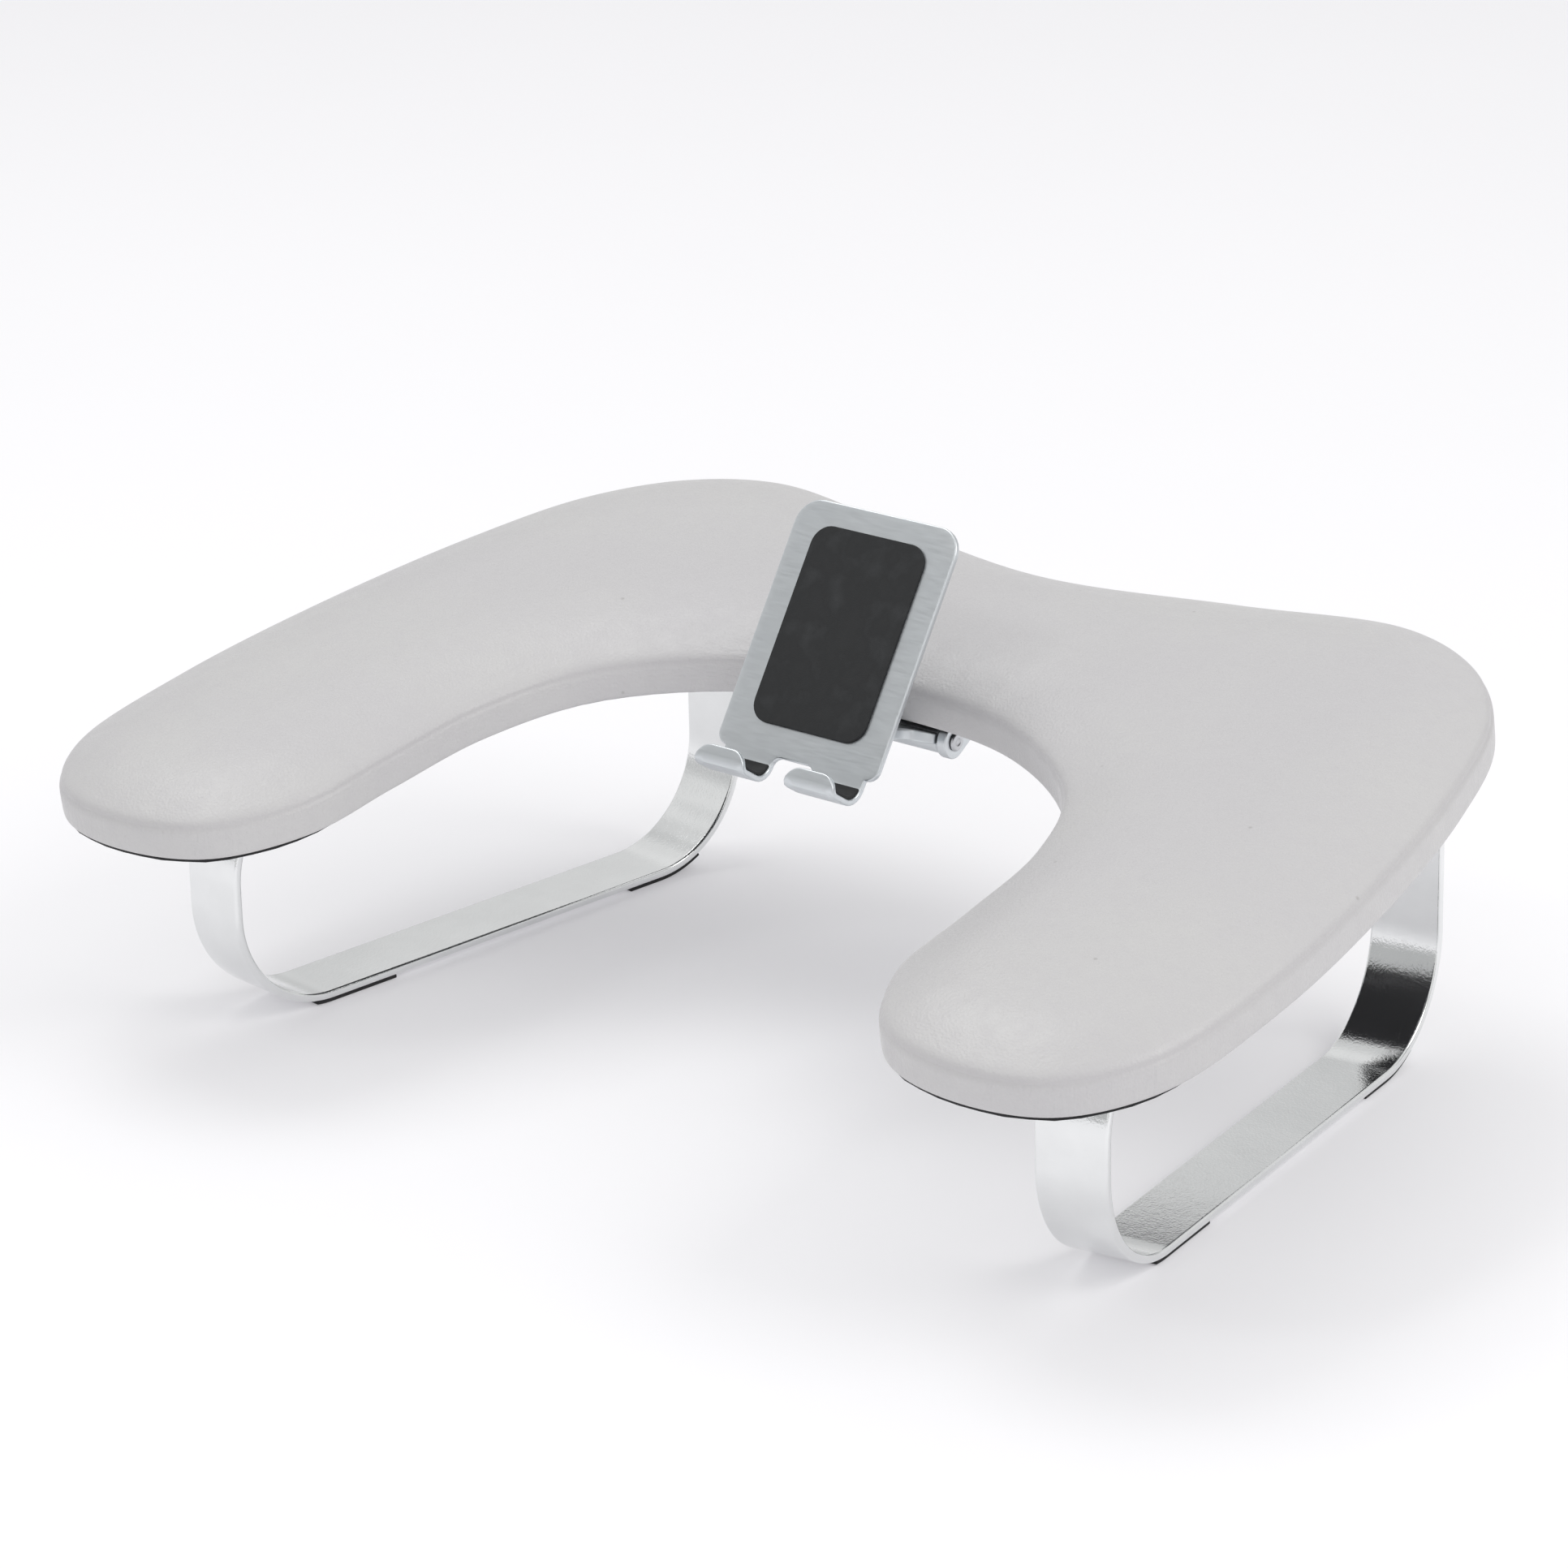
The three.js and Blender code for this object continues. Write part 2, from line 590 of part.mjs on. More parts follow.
const headTop = -FLANGE_GAP - BAR_THICKNESS - 0.4;
screwPlaces.forEach(({ name, place }) => {
  const insert = tube(INSERT_RADIUS, INSERT_BORE_RADIUS, INSERT_LENGTH, 14);
  const screw = panScrew(SCREW_RADIUS, 13.5, SCREW_HEAD_RADIUS, SCREW_HEAD_HEIGHT);
  cushion.add(at(mesh(`leg_insert_${name}`, insert, BRASS), ...place, BOARD_BOTTOM + 0.3));
  cushion.add(at(mesh(`leg_screw_${name}`, screw, STEEL), ...place, headTop));
});
bracketPlaces.forEach(({ name, place }) => {
  const screw = panScrew(1.6, 12, 3.4, 1.9);
  cushion.add(at(mesh(`bracket_screw_${name}`, screw, STEEL), ...place, -BRACKET_PLATE_THICKNESS - 2 * REST_GAP));
});

sides.forEach(([sideName, side]) => {
  const leg = new THREE.Group();
  leg.position.set(side * LEG_X, LEG_Y, 0);
  leg.rotation.z = side * LEG_SPLAY;
  leg.add(mesh(`leg_${sideName}`, legBar(), CHROME));
  leg.add(mesh(`foot_pad_${sideName}_front`, footPad(28, THREE.MathUtils.degToRad(9), -1), RUBBER));
  leg.add(mesh(`foot_pad_${sideName}_rear`, footPad(14, THREE.MathUtils.degToRad(27), 1), RUBBER));
  armRest.add(leg);
});

const holder = at(new THREE.Group(), 0, HINGE_Y, -HINGE_DROP);
cushion.add(holder);
holder.add(mesh('holder_bracket', holderBracket(), ALUMINIUM));
holder.add(at(mesh('lower_pivot_bolt', pivotBolt(2 * BRACKET_HALF_WIDTH + 6.2), STEEL),
  -BRACKET_HALF_WIDTH - 5.9, 0, 0));
holder.add(at(mesh('lower_pivot_nut', hexNut(7, PIN_HOLE_RADIUS, 4), STEEL),
  -BRACKET_HALF_WIDTH - 0.3 - 2, 0, 0));

const arm = new THREE.Group();
arm.rotation.x = -(ARM_RISE + CUSHION_TILT);
holder.add(arm);
arm.add(mesh('holder_arm', holderArm(), ALUMINIUM));
[['left', -1], ['right', 1]].forEach(([sideName, side]) => {
  const near = LOWER_KNUCKLE_HALF + 0.15;
  const place = side > 0 ? near : -near - WASHER_THICKNESS;
  arm.add(at(mesh(`lower_washer_${sideName}`, thinWasher(4.4), NYLON), place, 0, 0));
});

const cradle = at(new THREE.Group(), 0, -ARM_LENGTH, 0);
cradle.rotation.x = ARM_RISE - CRADLE_LEAN;
arm.add(cradle);
const earOuter = UPPER_KNUCKLE_HALF + WASHER_THICKNESS + 0.3 + CRADLE_EAR_THICKNESS;
cradle.add(mesh('cradle_plate', cradlePlate(), ALUMINIUM));
cradle.add(at(mesh('upper_pivot_bolt', pivotBolt(2 * earOuter + 5.7), STEEL), -earOuter - 5.4, 0, 0));
cradle.add(at(mesh('upper_pivot_nut', hexNut(7, PIN_HOLE_RADIUS, 3.5), STEEL), -earOuter - 0.3 - 1.75, 0, 0));
[['left', -1], ['right', 1]].forEach(([sideName, side]) => {
  const near = UPPER_KNUCKLE_HALF + 0.15;
  const place = side > 0 ? near : -near - WASHER_THICKNESS;
  cradle.add(at(mesh(`upper_washer_${sideName}`, thinWasher(4.4), NYLON), place, 0, 0));
  cradle.add(at(mesh(`hook_liner_${sideName}`, hookLiner(), SILICONE), side * HOOK_PITCH / 2, 0, 0));
});
cradle.add(mesh('cradle_face_pad',
  facePanel(roundedPanel(FACE_PAD.width, FACE_PAD.bottom, FACE_PAD.top, FACE_PAD.corner),
    CRADLE_FACE, FACE_PAD.thickness), SILICONE));

export default armRest;
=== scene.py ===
"""Looks of the nail arm rest: a leather cushion on chromed legs, with a folding phone holder.

Pieces are modelled in millimetres in the frame of their own part and then set into the
CAD frame, which is in metres with +Y towards the closed back of the U and +Z up. What the
photo doesn't show, such as the staples and the plate behind the phone, is a guess.
"""

import json
import math
import random

import bmesh
import bpy
import numpy as np
from mathutils import Matrix, Vector
from mathutils.geometry import delaunay_2d_cdt


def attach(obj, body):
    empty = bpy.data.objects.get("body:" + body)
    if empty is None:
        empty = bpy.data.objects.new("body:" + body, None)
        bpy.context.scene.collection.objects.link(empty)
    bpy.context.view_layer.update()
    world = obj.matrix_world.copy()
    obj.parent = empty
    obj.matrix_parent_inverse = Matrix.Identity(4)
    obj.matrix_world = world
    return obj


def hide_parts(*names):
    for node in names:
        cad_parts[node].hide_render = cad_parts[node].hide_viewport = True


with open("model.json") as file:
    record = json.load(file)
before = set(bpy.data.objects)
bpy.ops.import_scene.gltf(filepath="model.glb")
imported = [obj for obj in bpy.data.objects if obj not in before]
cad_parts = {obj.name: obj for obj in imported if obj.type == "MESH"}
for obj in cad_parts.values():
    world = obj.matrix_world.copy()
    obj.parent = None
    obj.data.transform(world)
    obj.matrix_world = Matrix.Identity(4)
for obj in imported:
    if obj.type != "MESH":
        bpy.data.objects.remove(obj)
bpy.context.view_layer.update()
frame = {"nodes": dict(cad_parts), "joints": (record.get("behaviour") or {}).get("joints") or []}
NODES = frame["nodes"]
JOINTS = {joint["name"]: Vector(joint["pos_m"]) for joint in frame["joints"]}
SIDES = {"left": -1, "right": 1}
MM = Matrix.Scale(0.001, 4)


def move(x, y, z):
    return Matrix.Translation((x, y, z))


# ---- driving dimensions, in millimetres, as in the CAD ----

CUSHION_TILT = math.radians(7.9)
UNDERSIDE_HEIGHT = 98.7
FRAME_SHIFT_Y = -2.32
HALF_OUTLINE = [
    (0, 43), (53, 36.5), (96, 8), (113, -30), (117, -72), (120, -110), (138, -138), (170, -147),
    (202, -140), (221, -114), (225, -61), (219, 4), (206, 68), (190, 112), (165, 140), (131, 153),
    (72, 143), (0, 132),
]
LEG_X, LEG_Y = 162, 15
LEG_SPLAY = math.radians(7.5)
BAR_WIDTH, BAR_THICKNESS = 25, 3
LEG_LENGTH = 229
LEG_BEND_RADIUS = 38
LEG_TOP_FRONT_RADIUS = 36
LEG_FLANGE_LENGTH = 46
LEG_SCREW_INSETS = (12, 34)
PAD_THICKNESS = 1.5
FLANGE_GAP = 0.5
HINGE_Y, HINGE_DROP = 50.7, 6.7
BRACKET_HALF_WIDTH = 20
BRACKET_SCREWS = [(-12, 20), (12, 20), (-12, 42), (12, 42)]
PIN_HOLE_RADIUS = 2.5
ARM_LENGTH = 45
ARM_RISE = math.radians(16.3)
CRADLE_LEAN = math.radians(34)

CUSHION_FRAME = (move(0, FRAME_SHIFT_Y, UNDERSIDE_HEIGHT)
                 @ Matrix.Rotation(CUSHION_TILT, 4, "X"))
HOLDER_FRAME = CUSHION_FRAME @ move(0, HINGE_Y, -HINGE_DROP)
ARM_FRAME = (Matrix.Translation(JOINTS["arm_hinge"] * 1000)
             @ Matrix.Rotation(-ARM_RISE, 4, "X"))
CRADLE_FRAME = (Matrix.Translation(JOINTS["cradle_tilt"] * 1000)
                @ Matrix.Rotation(-CRADLE_LEAN, 4, "X"))


def leg_frame(side):
    return (move(side * LEG_X, LEG_Y + FRAME_SHIFT_Y, 0)
            @ Matrix.Rotation(side * LEG_SPLAY, 4, "Z"))


# ---- mesh helpers ----


def add_object(name, data):
    added = bpy.data.objects.new(name, data)
    bpy.context.scene.collection.objects.link(added)
    return added


def mesh_object(name, vertices, faces):
    mesh = bpy.data.meshes.new(name)
    mesh.from_pydata([tuple(vertex) for vertex in vertices], [], faces)
    mesh.validate()
    return add_object(name, mesh)


def evaluated_mesh(thing):
    """A copy of an object's mesh with its modifiers or curve settings applied."""
    graph = bpy.context.evaluated_depsgraph_get()
    return bpy.data.meshes.new_from_object(thing.evaluated_get(graph), depsgraph=graph)


def apply_modifiers(piece):
    mesh = evaluated_mesh(piece)
    piece.modifiers.clear()
    piece.data = mesh
    return piece


def turn_outwards(piece, merge=None):
    """Turns all faces outwards, after merging points closer than merge when it is given."""
    shape = bmesh.new()
    shape.from_mesh(piece.data)
    if merge:
        bmesh.ops.remove_doubles(shape, verts=shape.verts, dist=merge)
    bmesh.ops.recalc_face_normals(shape, faces=shape.faces)
    shape.to_mesh(piece.data)
    shape.free()
    return piece


def boolean(piece, tool, operation):
    modifier = piece.modifiers.new("boolean", "BOOLEAN")
    modifier.operation = operation
    modifier.solver = "EXACT"
    modifier.object = tool
    apply_modifiers(piece)
    bpy.data.objects.remove(tool)
    return piece


def cut(piece, tool):
    return boolean(piece, tool, "DIFFERENCE")


def join(piece, tool):
    return boolean(piece, tool, "UNION")


def thicken(piece, thickness, even=False):
    """Gives an open skin its thickness, inwards from the surface that was drawn."""
    modifier = piece.modifiers.new("thickness", "SOLIDIFY")
    modifier.thickness = thickness
    modifier.offset = -1
    modifier.use_even_offset = even
    return turn_outwards(apply_modifiers(piece))


def shade(piece, sharp=40):
    """Smooth shading that keeps flat faces flat and edges sharper than the angle, in degrees."""
    piece.data.shade_smooth()
    piece.data.set_sharp_from_angle(angle=math.radians(sharp))
    modifier = piece.modifiers.new("normals", "WEIGHTED_NORMAL")
    modifier.keep_sharp = True
    return apply_modifiers(piece)


def settle(piece, place, body, slot, material, *nodes):
    """Sets a piece that was modelled in millimetres into the CAD frame, for these CAD nodes."""
    piece.data.transform(MM @ place)
    piece.data.materials.clear()
    piece.data.materials.append(material)
    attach(piece, body)
    if nodes:
        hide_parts(*nodes)
    return piece


# ---- outlines and paths ----

def closed_curve(points, count):
    """Evenly spaced points on a closed centripetal Catmull-Rom curve."""
    points = np.array(points, float)
    total = len(points)
    dense = []
    for i in range(total):
        p0, p1, p2, p3 = (points[(i + k) % total] for k in (-1, 0, 1, 2))
        d0, d1, d2 = (math.sqrt(np.linalg.norm(b - a)) for a, b in ((p0, p1), (p1, p2), (p2, p3)))
        m1 = ((p1 - p0) / d0 - (p2 - p0) / (d0 + d1) + (p2 - p1) / d1) * d1
        m2 = ((p2 - p1) / d1 - (p3 - p1) / (d1 + d2) + (p3 - p2) / d2) * d1
        for t in np.linspace(0, 1, 40, endpoint=False):
            dense.append((2 * t**3 - 3 * t**2 + 1) * p1 + (t**3 - 2 * t**2 + t) * m1
                         + (-2 * t**3 + 3 * t**2) * p2 + (t**3 - t**2) * m2)
    dense = np.array(dense)
    loop = np.vstack([dense, dense[:1]])
    length = np.concatenate([[0], np.cumsum(np.linalg.norm(np.diff(loop, axis=0), axis=1))])
    places = np.linspace(0, length[-1], count, endpoint=False)
    return np.column_stack([np.interp(places, length, loop[:, axis]) for axis in (0, 1)])


def cushion_outline(count):
    left = [(-x, y) for x, y in reversed(HALF_OUTLINE[1:-1])]
    return closed_curve(HALF_OUTLINE + left, count)


def outward_normals(loop):
    along = np.roll(loop, -1, axis=0) - np.roll(loop, 1, axis=0)
    along /= np.linalg.norm(along, axis=1)[:, None]
    return np.column_stack([along[:, 1], -along[:, 0]])


def distance_to(loop, points):
    """Distance from each point to the nearest of the loop's segments."""
    starts, ends = loop, np.roll(loop, -1, axis=0)
    step = ends - starts
    squared = (step**2).sum(axis=1)
    nearest = np.full(len(points), np.inf)
    for start, vector, size in zip(starts, step, squared):
        offset = points - start
        t = np.clip(offset @ vector / size, 0, 1)
        gap = offset - t[:, None] * vector
        nearest = np.minimum(nearest, (gap**2).sum(axis=1))
    return np.sqrt(nearest)


def inside(loop, points):
    x, y = points[:, 0], points[:, 1]
    odd = np.zeros(len(points), bool)
    for (x0, y0), (x1, y1) in zip(loop, np.roll(loop, -1, axis=0)):
        crosses = (y0 > y) != (y1 > y)
        with np.errstate(divide="ignore", invalid="ignore"):
            cut = (x1 - x0) * (y - y0) / (y1 - y0) + x0
        odd ^= crosses & (x < cut)
    return odd


def triangle_grid(low, high, spacing):
    rows = np.arange(low[1], high[1], spacing * math.sqrt(3) / 2)
    columns = np.arange(low[0], high[0], spacing)
    return np.array([(x + (spacing / 2 if row % 2 else 0), y)
                     for row, y in enumerate(rows) for x in columns])


def fill_region(loop, spacing, margin, holes=()):
    """Even triangles inside a loop and outside its holes: points and faces."""
    loops = [np.array(loop, float)] + [np.array(hole, float) for hole in holes]
    grid = triangle_grid(loops[0].min(axis=0), loops[0].max(axis=0), spacing)
    grid = grid[inside(loops[0], grid)]
    for ring in loops:
        grid = grid[distance_to(ring, grid) > margin]
    for hole in loops[1:]:
        grid = grid[~inside(hole, grid)]
    points, edges = [], []
    for ring in loops:
        first = len(points)
        points += [Vector(point) for point in ring]
        edges += [(first + i, first + (i + 1) % len(ring)) for i in range(len(ring))]
    points += [Vector(point) for point in grid]
    found = delaunay_2d_cdt(points, edges, [], 0, 1e-6)
    places, faces = np.array([tuple(point) for point in found[0]]), found[2]
    middles = np.array([places[list(face)].mean(axis=0) for face in faces])
    keep = inside(loops[0], middles)
    for hole in loops[1:]:
        keep &= ~inside(hole, middles)
    faces = [tuple(face) for face, kept in zip(faces, keep) if kept]
    return places, faces


def rounded_path(corners, step=math.radians(3)):
    """Corners are (u, v, radius); the two ends have radius 0."""
    path = []
    for index, (u, v, radius) in enumerate(corners):
        if not radius:
            path.append(Vector((u, v)))
            continue
        corner = Vector((u, v))
        before = (Vector(corners[index - 1][:2]) - corner).normalized()
        after = (Vector(corners[index + 1][:2]) - corner).normalized()
        half = before.angle(after) / 2
        turn = math.pi - 2 * half
        middle = corner + (before + after).normalized() * radius / math.sin(half)
        spoke = corner + before * radius / math.tan(half) - middle
        side = math.copysign(1, after.x * before.y - after.y * before.x)
        steps = max(3, math.ceil(turn / step))
        for k in range(steps + 1):
            path.append(middle + Matrix.Rotation(side * turn * k / steps, 2) @ spoke)
    return path


def path_frames(path):
    """For each point of a path: the point and its unit normal on the left."""
    frames = []
    for index, point in enumerate(path):
        along = path[min(index + 1, len(path) - 1)] - path[max(index - 1, 0)]
        along.normalize()
        frames.append((point, Vector((-along.y, along.x))))
    return frames


def ring_band(first, second, count):
    """Faces between two closed rings of points, given each ring's first index."""
    following = [(i + 1) % count for i in range(count)]
    return [(first + i, second + i, second + j, first + j) for i, j in enumerate(following)]


def arc(cx, cy, radius, start, end, steps=8):
    """Points on a circle from one angle to another, in degrees."""
    angles = [math.radians(start + (end - start) * k / steps) for k in range(steps + 1)]
    return [(cx + radius * math.cos(angle), cy + radius * math.sin(angle)) for angle in angles]


def mirrored(side):
    """A half outline followed by its mirror image, back to its start."""
    return side + [(-x, y) for x, y in reversed(side)]


def sweep(name, path, section):
    """A closed section of (across, off) swept along a path in the Y-Z plane, with flat ends."""
    count = len(section)
    vertices, faces = [], []
    for point, normal in path_frames(path):
        for across, off in section:
            spot = point + normal * off
            vertices.append((across, spot.x, spot.y))
    for k in range(len(path) - 1):
        faces += ring_band(k * count, (k + 1) * count, count)
    faces.append(tuple(range(count)))
    faces.append(tuple(reversed(range((len(path) - 1) * count, len(path) * count))))
    return turn_outwards(mesh_object(name, vertices, faces))


def rounded_section(width, low, high, radius, steps=4):
    """A rectangle with round corners, as (across, off)."""
    section = []
    for sx, sy, start in ((1, 1, 0), (-1, 1, 90), (-1, -1, 180), (1, -1, 270)):
        edge = high if sy > 0 else low
        section += arc(sx * (width / 2 - radius), edge - sy * radius, radius, start, start + 90, steps)
    return section


def lathe(name, profile, segments=48):
    """A profile of (radius, height) turned about Z; it starts and ends on the axis or closes on itself."""
    closed = profile[0] == profile[-1]
    rings = profile[:-1] if closed else profile
    vertices, rows = [], []
    for radius, height in rings:
        if radius == 0:
            rows.append([len(vertices)])
            vertices.append((0, 0, height))
            continue
        rows.append(list(range(len(vertices), len(vertices) + segments)))
        for k in range(segments):
            angle = 2 * math.pi * k / segments
            vertices.append((radius * math.cos(angle), radius * math.sin(angle), height))
    faces = []
    pairs = list(zip(rows, rows[1:])) + ([(rows[-1], rows[0])] if closed else [])
    for low, high in pairs:
        for k in range(segments):
            corners = [low[k % len(low)], low[(k + 1) % segments % len(low)],
                       high[(k + 1) % segments % len(high)], high[k % len(high)]]
            corners = list(dict.fromkeys(corners))
            if len(corners) > 2:
                faces.append(tuple(corners))
    return turn_outwards(mesh_object(name, vertices, faces))


def cylinder(name, radius, low, high, segments=32):
    return lathe(name, [(0, low), (radius, low), (radius, high), (0, high)], segments)


def extruded(name, outline, thickness, bevel, holes=()):
    """A plate in the X-Y plane, centred on Z = 0, with rounded rims."""
    curve = bpy.data.curves.new(name, "CURVE")
    curve.dimensions = "2D"
    curve.fill_mode = "BOTH"
    curve.extrude = thickness / 2 - bevel
    curve.bevel_depth = bevel
    curve.bevel_resolution = 2
    curve.offset = -bevel
    for loop in [outline, *holes]:
        spline = curve.splines.new("POLY")
        spline.points.add(len(loop) - 1)
        for point, (x, y) in zip(spline.points, loop):
            point.co = (x, y, 0, 1)
        spline.use_cyclic_u = True
    plate = add_object(name, curve)
    mesh = evaluated_mesh(plate)
    bpy.data.objects.remove(plate)
    return turn_outwards(add_object(name, mesh), merge=0.001)


def circle(x, y, radius, count):
    return arc(x, y, radius, 0, 360, count)[:-1]


def rounded_rectangle(half_width, low, high, radius):
    """A rectangle with round corners, centred on x = 0."""
    side = half_width - radius
    return mirrored(arc(side, low + radius, radius, -90, 0) + arc(side, high - radius, radius, 0, 90))


# ---- materials ----

class Tree:
    """Adds nodes to a node tree, which places its textures by one kind of coordinate."""

    def __init__(self, owner, shader_kind, coordinate):
        owner.use_nodes = True
        self.tree = owner.node_tree
        self.shader = next(node for node in self.tree.nodes if node.type == shader_kind)
        self.place = self.add("ShaderNodeTexCoord").outputs[coordinate]

    def set(self, node, socket, value):
        node.inputs[socket].default_value = value

    def add(self, kind, **values):
        node = self.tree.nodes.new(kind)
        for name, value in values.items():
            setattr(node, name, value)
        return node

    def link(self, source, target):
        self.tree.links.new(source, target)

    def mapped(self, scale, turn=0.0):
        node = self.add("ShaderNodeMapping")
        self.link(self.place, node.inputs["Vector"])
        self.set(node, "Scale", scale)
        self.set(node, "Rotation", (0, 0, turn))
        return node.outputs["Vector"]

    def noise(self, scale, detail=3.0, roughness=0.55, vector=None):
        node = self.add("ShaderNodeTexNoise")
        self.link(vector or self.place, node.inputs["Vector"])
        self.set(node, "Scale", scale)
        self.set(node, "Detail", detail)
        self.set(node, "Roughness", roughness)
        return node.outputs["Fac"]

    def cells(self, scale, feature="F1", vector=None):
        node = self.add("ShaderNodeTexVoronoi", feature=feature)
        self.link(vector or self.place, node.inputs["Vector"])
        self.set(node, "Scale", scale)
        return node.outputs["Distance"]

    def spread(self, value, low, high, from_low=0.0, from_high=1.0):
        node = self.add("ShaderNodeMapRange", clamp=True)
        self.link(value, node.inputs["Value"])
        for socket, number in (("From Min", from_low), ("From Max", from_high),
                               ("To Min", low), ("To Max", high)):
            self.set(node, socket, number)
        return node.outputs["Result"]

    def math(self, operation, a, b):
        node = self.add("ShaderNodeMath", operation=operation)
        for socket, value in zip(node.inputs, (a, b)):
            if isinstance(value, (int, float)):
                socket.default_value = value
            else:
                self.link(value, socket)
        return node.outputs["Value"]

    def attribute(self, name):
        return self.add("ShaderNodeAttribute", attribute_name=name).outputs["Fac"]

    def mix(self, factor, first, second):
        node = self.add("ShaderNodeMix", data_type="RGBA")
        self.link(factor, node.inputs["Factor"])
        for socket, value in (("A", first), ("B", second)):
            target = next(s for s in node.inputs if s.name == socket and s.type == "RGBA")
            if isinstance(value, tuple):
                target.default_value = (*value, 1)
            else:
                self.link(value, target)
        return next(s for s in node.outputs if s.type == "RGBA")


class Nodes(Tree):
    """One node material around a Principled shader."""

    def __init__(self, name, color, roughness, metallic=0.0, **uniform):
        self.material = bpy.data.materials.new(name)
        super().__init__(self.material, "BSDF_PRINCIPLED", "Object")
        self.material.diffuse_color = (*color, 1)
        self.set(self.shader, "Base Color", (*color, 1))
        self.set(self.shader, "Roughness", roughness)
        self.set(self.shader, "Metallic", metallic)
        for socket, value in uniform.items():
            self.set(self.shader, socket.replace("_", " "), value)
        self.height = None

    def color(self, value):
        self.link(value, self.shader.inputs["Base Color"])

    def roughness(self, value):
        self.link(value, self.shader.inputs["Roughness"])

    def bump(self, height, distance, strength=1.0):
        """Adds a bump on top of those already there; distance is in metres."""
        node = self.add("ShaderNodeBump")
        self.link(height, node.inputs["Height"])
        self.set(node, "Distance", distance)
        self.set(node, "Strength", strength)
        if self.height:
            self.link(self.height, node.inputs["Normal"])
        self.height = node.outputs["Normal"]
        self.link(self.height, self.shader.inputs["Normal"])


def leather_material():
    tone = (0.54, 0.53, 0.535)
    leather = Nodes("cover_leather", tone, 0.42, Specular_IOR_Level=0.5)
    soft = leather.noise(9, detail=2)
    mottle = leather.noise(150, detail=4)
    warm = leather.spread(soft, 0, 1, 0.35, 0.65)
    base = leather.mix(warm, (0.53, 0.522, 0.53), (0.545, 0.54, 0.538))
    base = leather.mix(leather.spread(mottle, 0, 0.35, 0.4, 0.7), base, (0.512, 0.502, 0.512))
    # Painted shade: the colour is darkened along the crease between the side band and the padded top.
    crease_shade = leather.attribute("crease_shade")
    base = leather.mix(leather.math("MULTIPLY", crease_shade, 0.12), base, (0.33, 0.31, 0.33))
    specks = leather.spread(leather.cells(40), 0.45, 0, 0.015, 0.035)
    leather.color(leather.mix(specks, base, (0.3, 0.29, 0.28)))
    leather.roughness(leather.spread(mottle, 0.33, 0.43, 0.3, 0.7))
    leather.bump(leather.noise(45, detail=2), 0.0006, 0.25)
    leather.bump(leather.cells(1150, "SMOOTH_F1"), 0.0003, 0.45)
    leather.bump(leather.noise(2600, detail=3), 0.0001, 0.6)
    wrinkle_lines = leather.noise(1, detail=3, vector=leather.mapped((140, 260, 900)))
    wrinkles = leather.math("MULTIPLY", wrinkle_lines, leather.attribute("wrinkle"))
    leather.bump(wrinkles, 0.0012, 0.9)
    pleat_lines = leather.noise(1, detail=2, vector=leather.mapped((700, 700, 60)))
    leather.bump(leather.math("MULTIPLY", pleat_lines, leather.attribute("pleat")), 0.00035, 0.8)
    return leather.material


def chrome_material(name, turn):
    """Polished plating with faint lengthwise polishing lines; turn lines them up with the bar."""
    chrome = Nodes(name, (0.8, 0.81, 0.81), 0.09, 1.0)
    streaks = chrome.noise(1, detail=5, roughness=0.7, vector=chrome.mapped((1800, 45, 45), turn))
    cloud = chrome.noise(60, detail=4)
    chrome.roughness(chrome.math("ADD", chrome.spread(streaks, 0.03, 0.1, 0.3, 0.7),
                                 chrome.spread(cloud, 0.0, 0.06, 0.45, 0.75)))
    chrome.color(chrome.mix(cloud, (0.76, 0.77, 0.77), (0.86, 0.87, 0.87)))
    chrome.bump(streaks, 0.00004, 0.5)
    chrome.bump(chrome.noise(1100, detail=3, roughness=0.6), 0.00007, 0.8)
    chrome.bump(chrome.noise(260, detail=3), 0.0001, 0.35)
    chrome.bump(chrome.noise(34, detail=2), 0.0006, 0.22)
    return chrome.material


def aluminium_material():
    metal = Nodes("holder_aluminium", (0.66, 0.69, 0.71), 0.36, 1.0)
    grain = metal.noise(1, detail=4, vector=metal.mapped((140, 1500, 1500)))
    cloud = metal.noise(40, detail=3)
    metal.roughness(metal.spread(grain, 0.32, 0.4, 0.3, 0.7))
    metal.color(metal.mix(cloud, (0.63, 0.665, 0.69), (0.7, 0.725, 0.74)))
    metal.bump(grain, 0.00001, 0.3)
    metal.bump(metal.noise(2600, detail=2), 0.00002, 0.35)
    return metal.material


def steel_material(name, tone, roughness):
    metal = Nodes(name, tone, roughness, 1.0)
    cloud = metal.noise(500, detail=4)
    metal.roughness(metal.spread(cloud, roughness - 0.06, roughness + 0.1, 0.3, 0.7))
    metal.color(metal.mix(cloud, tone, tuple(value * 0.88 for value in tone)))
    metal.bump(metal.noise(1800, detail=2), 0.00002, 0.5)
    return metal.material


def rubber_material(name, tone, grain):
    rubber = Nodes(name, tone, 0.72, Specular_IOR_Level=0.35)
    dust = rubber.noise(120, detail=4)
    dusty = tuple(value * 1.7 + 0.006 for value in tone)
    rubber.color(rubber.mix(rubber.spread(dust, 0, 1, 0.5, 0.8), tone, dusty))
    rubber.roughness(rubber.spread(dust, 0.62, 0.82, 0.3, 0.7))
    rubber.bump(rubber.noise(grain, detail=3), 0.00008, 0.6)
    return rubber.material


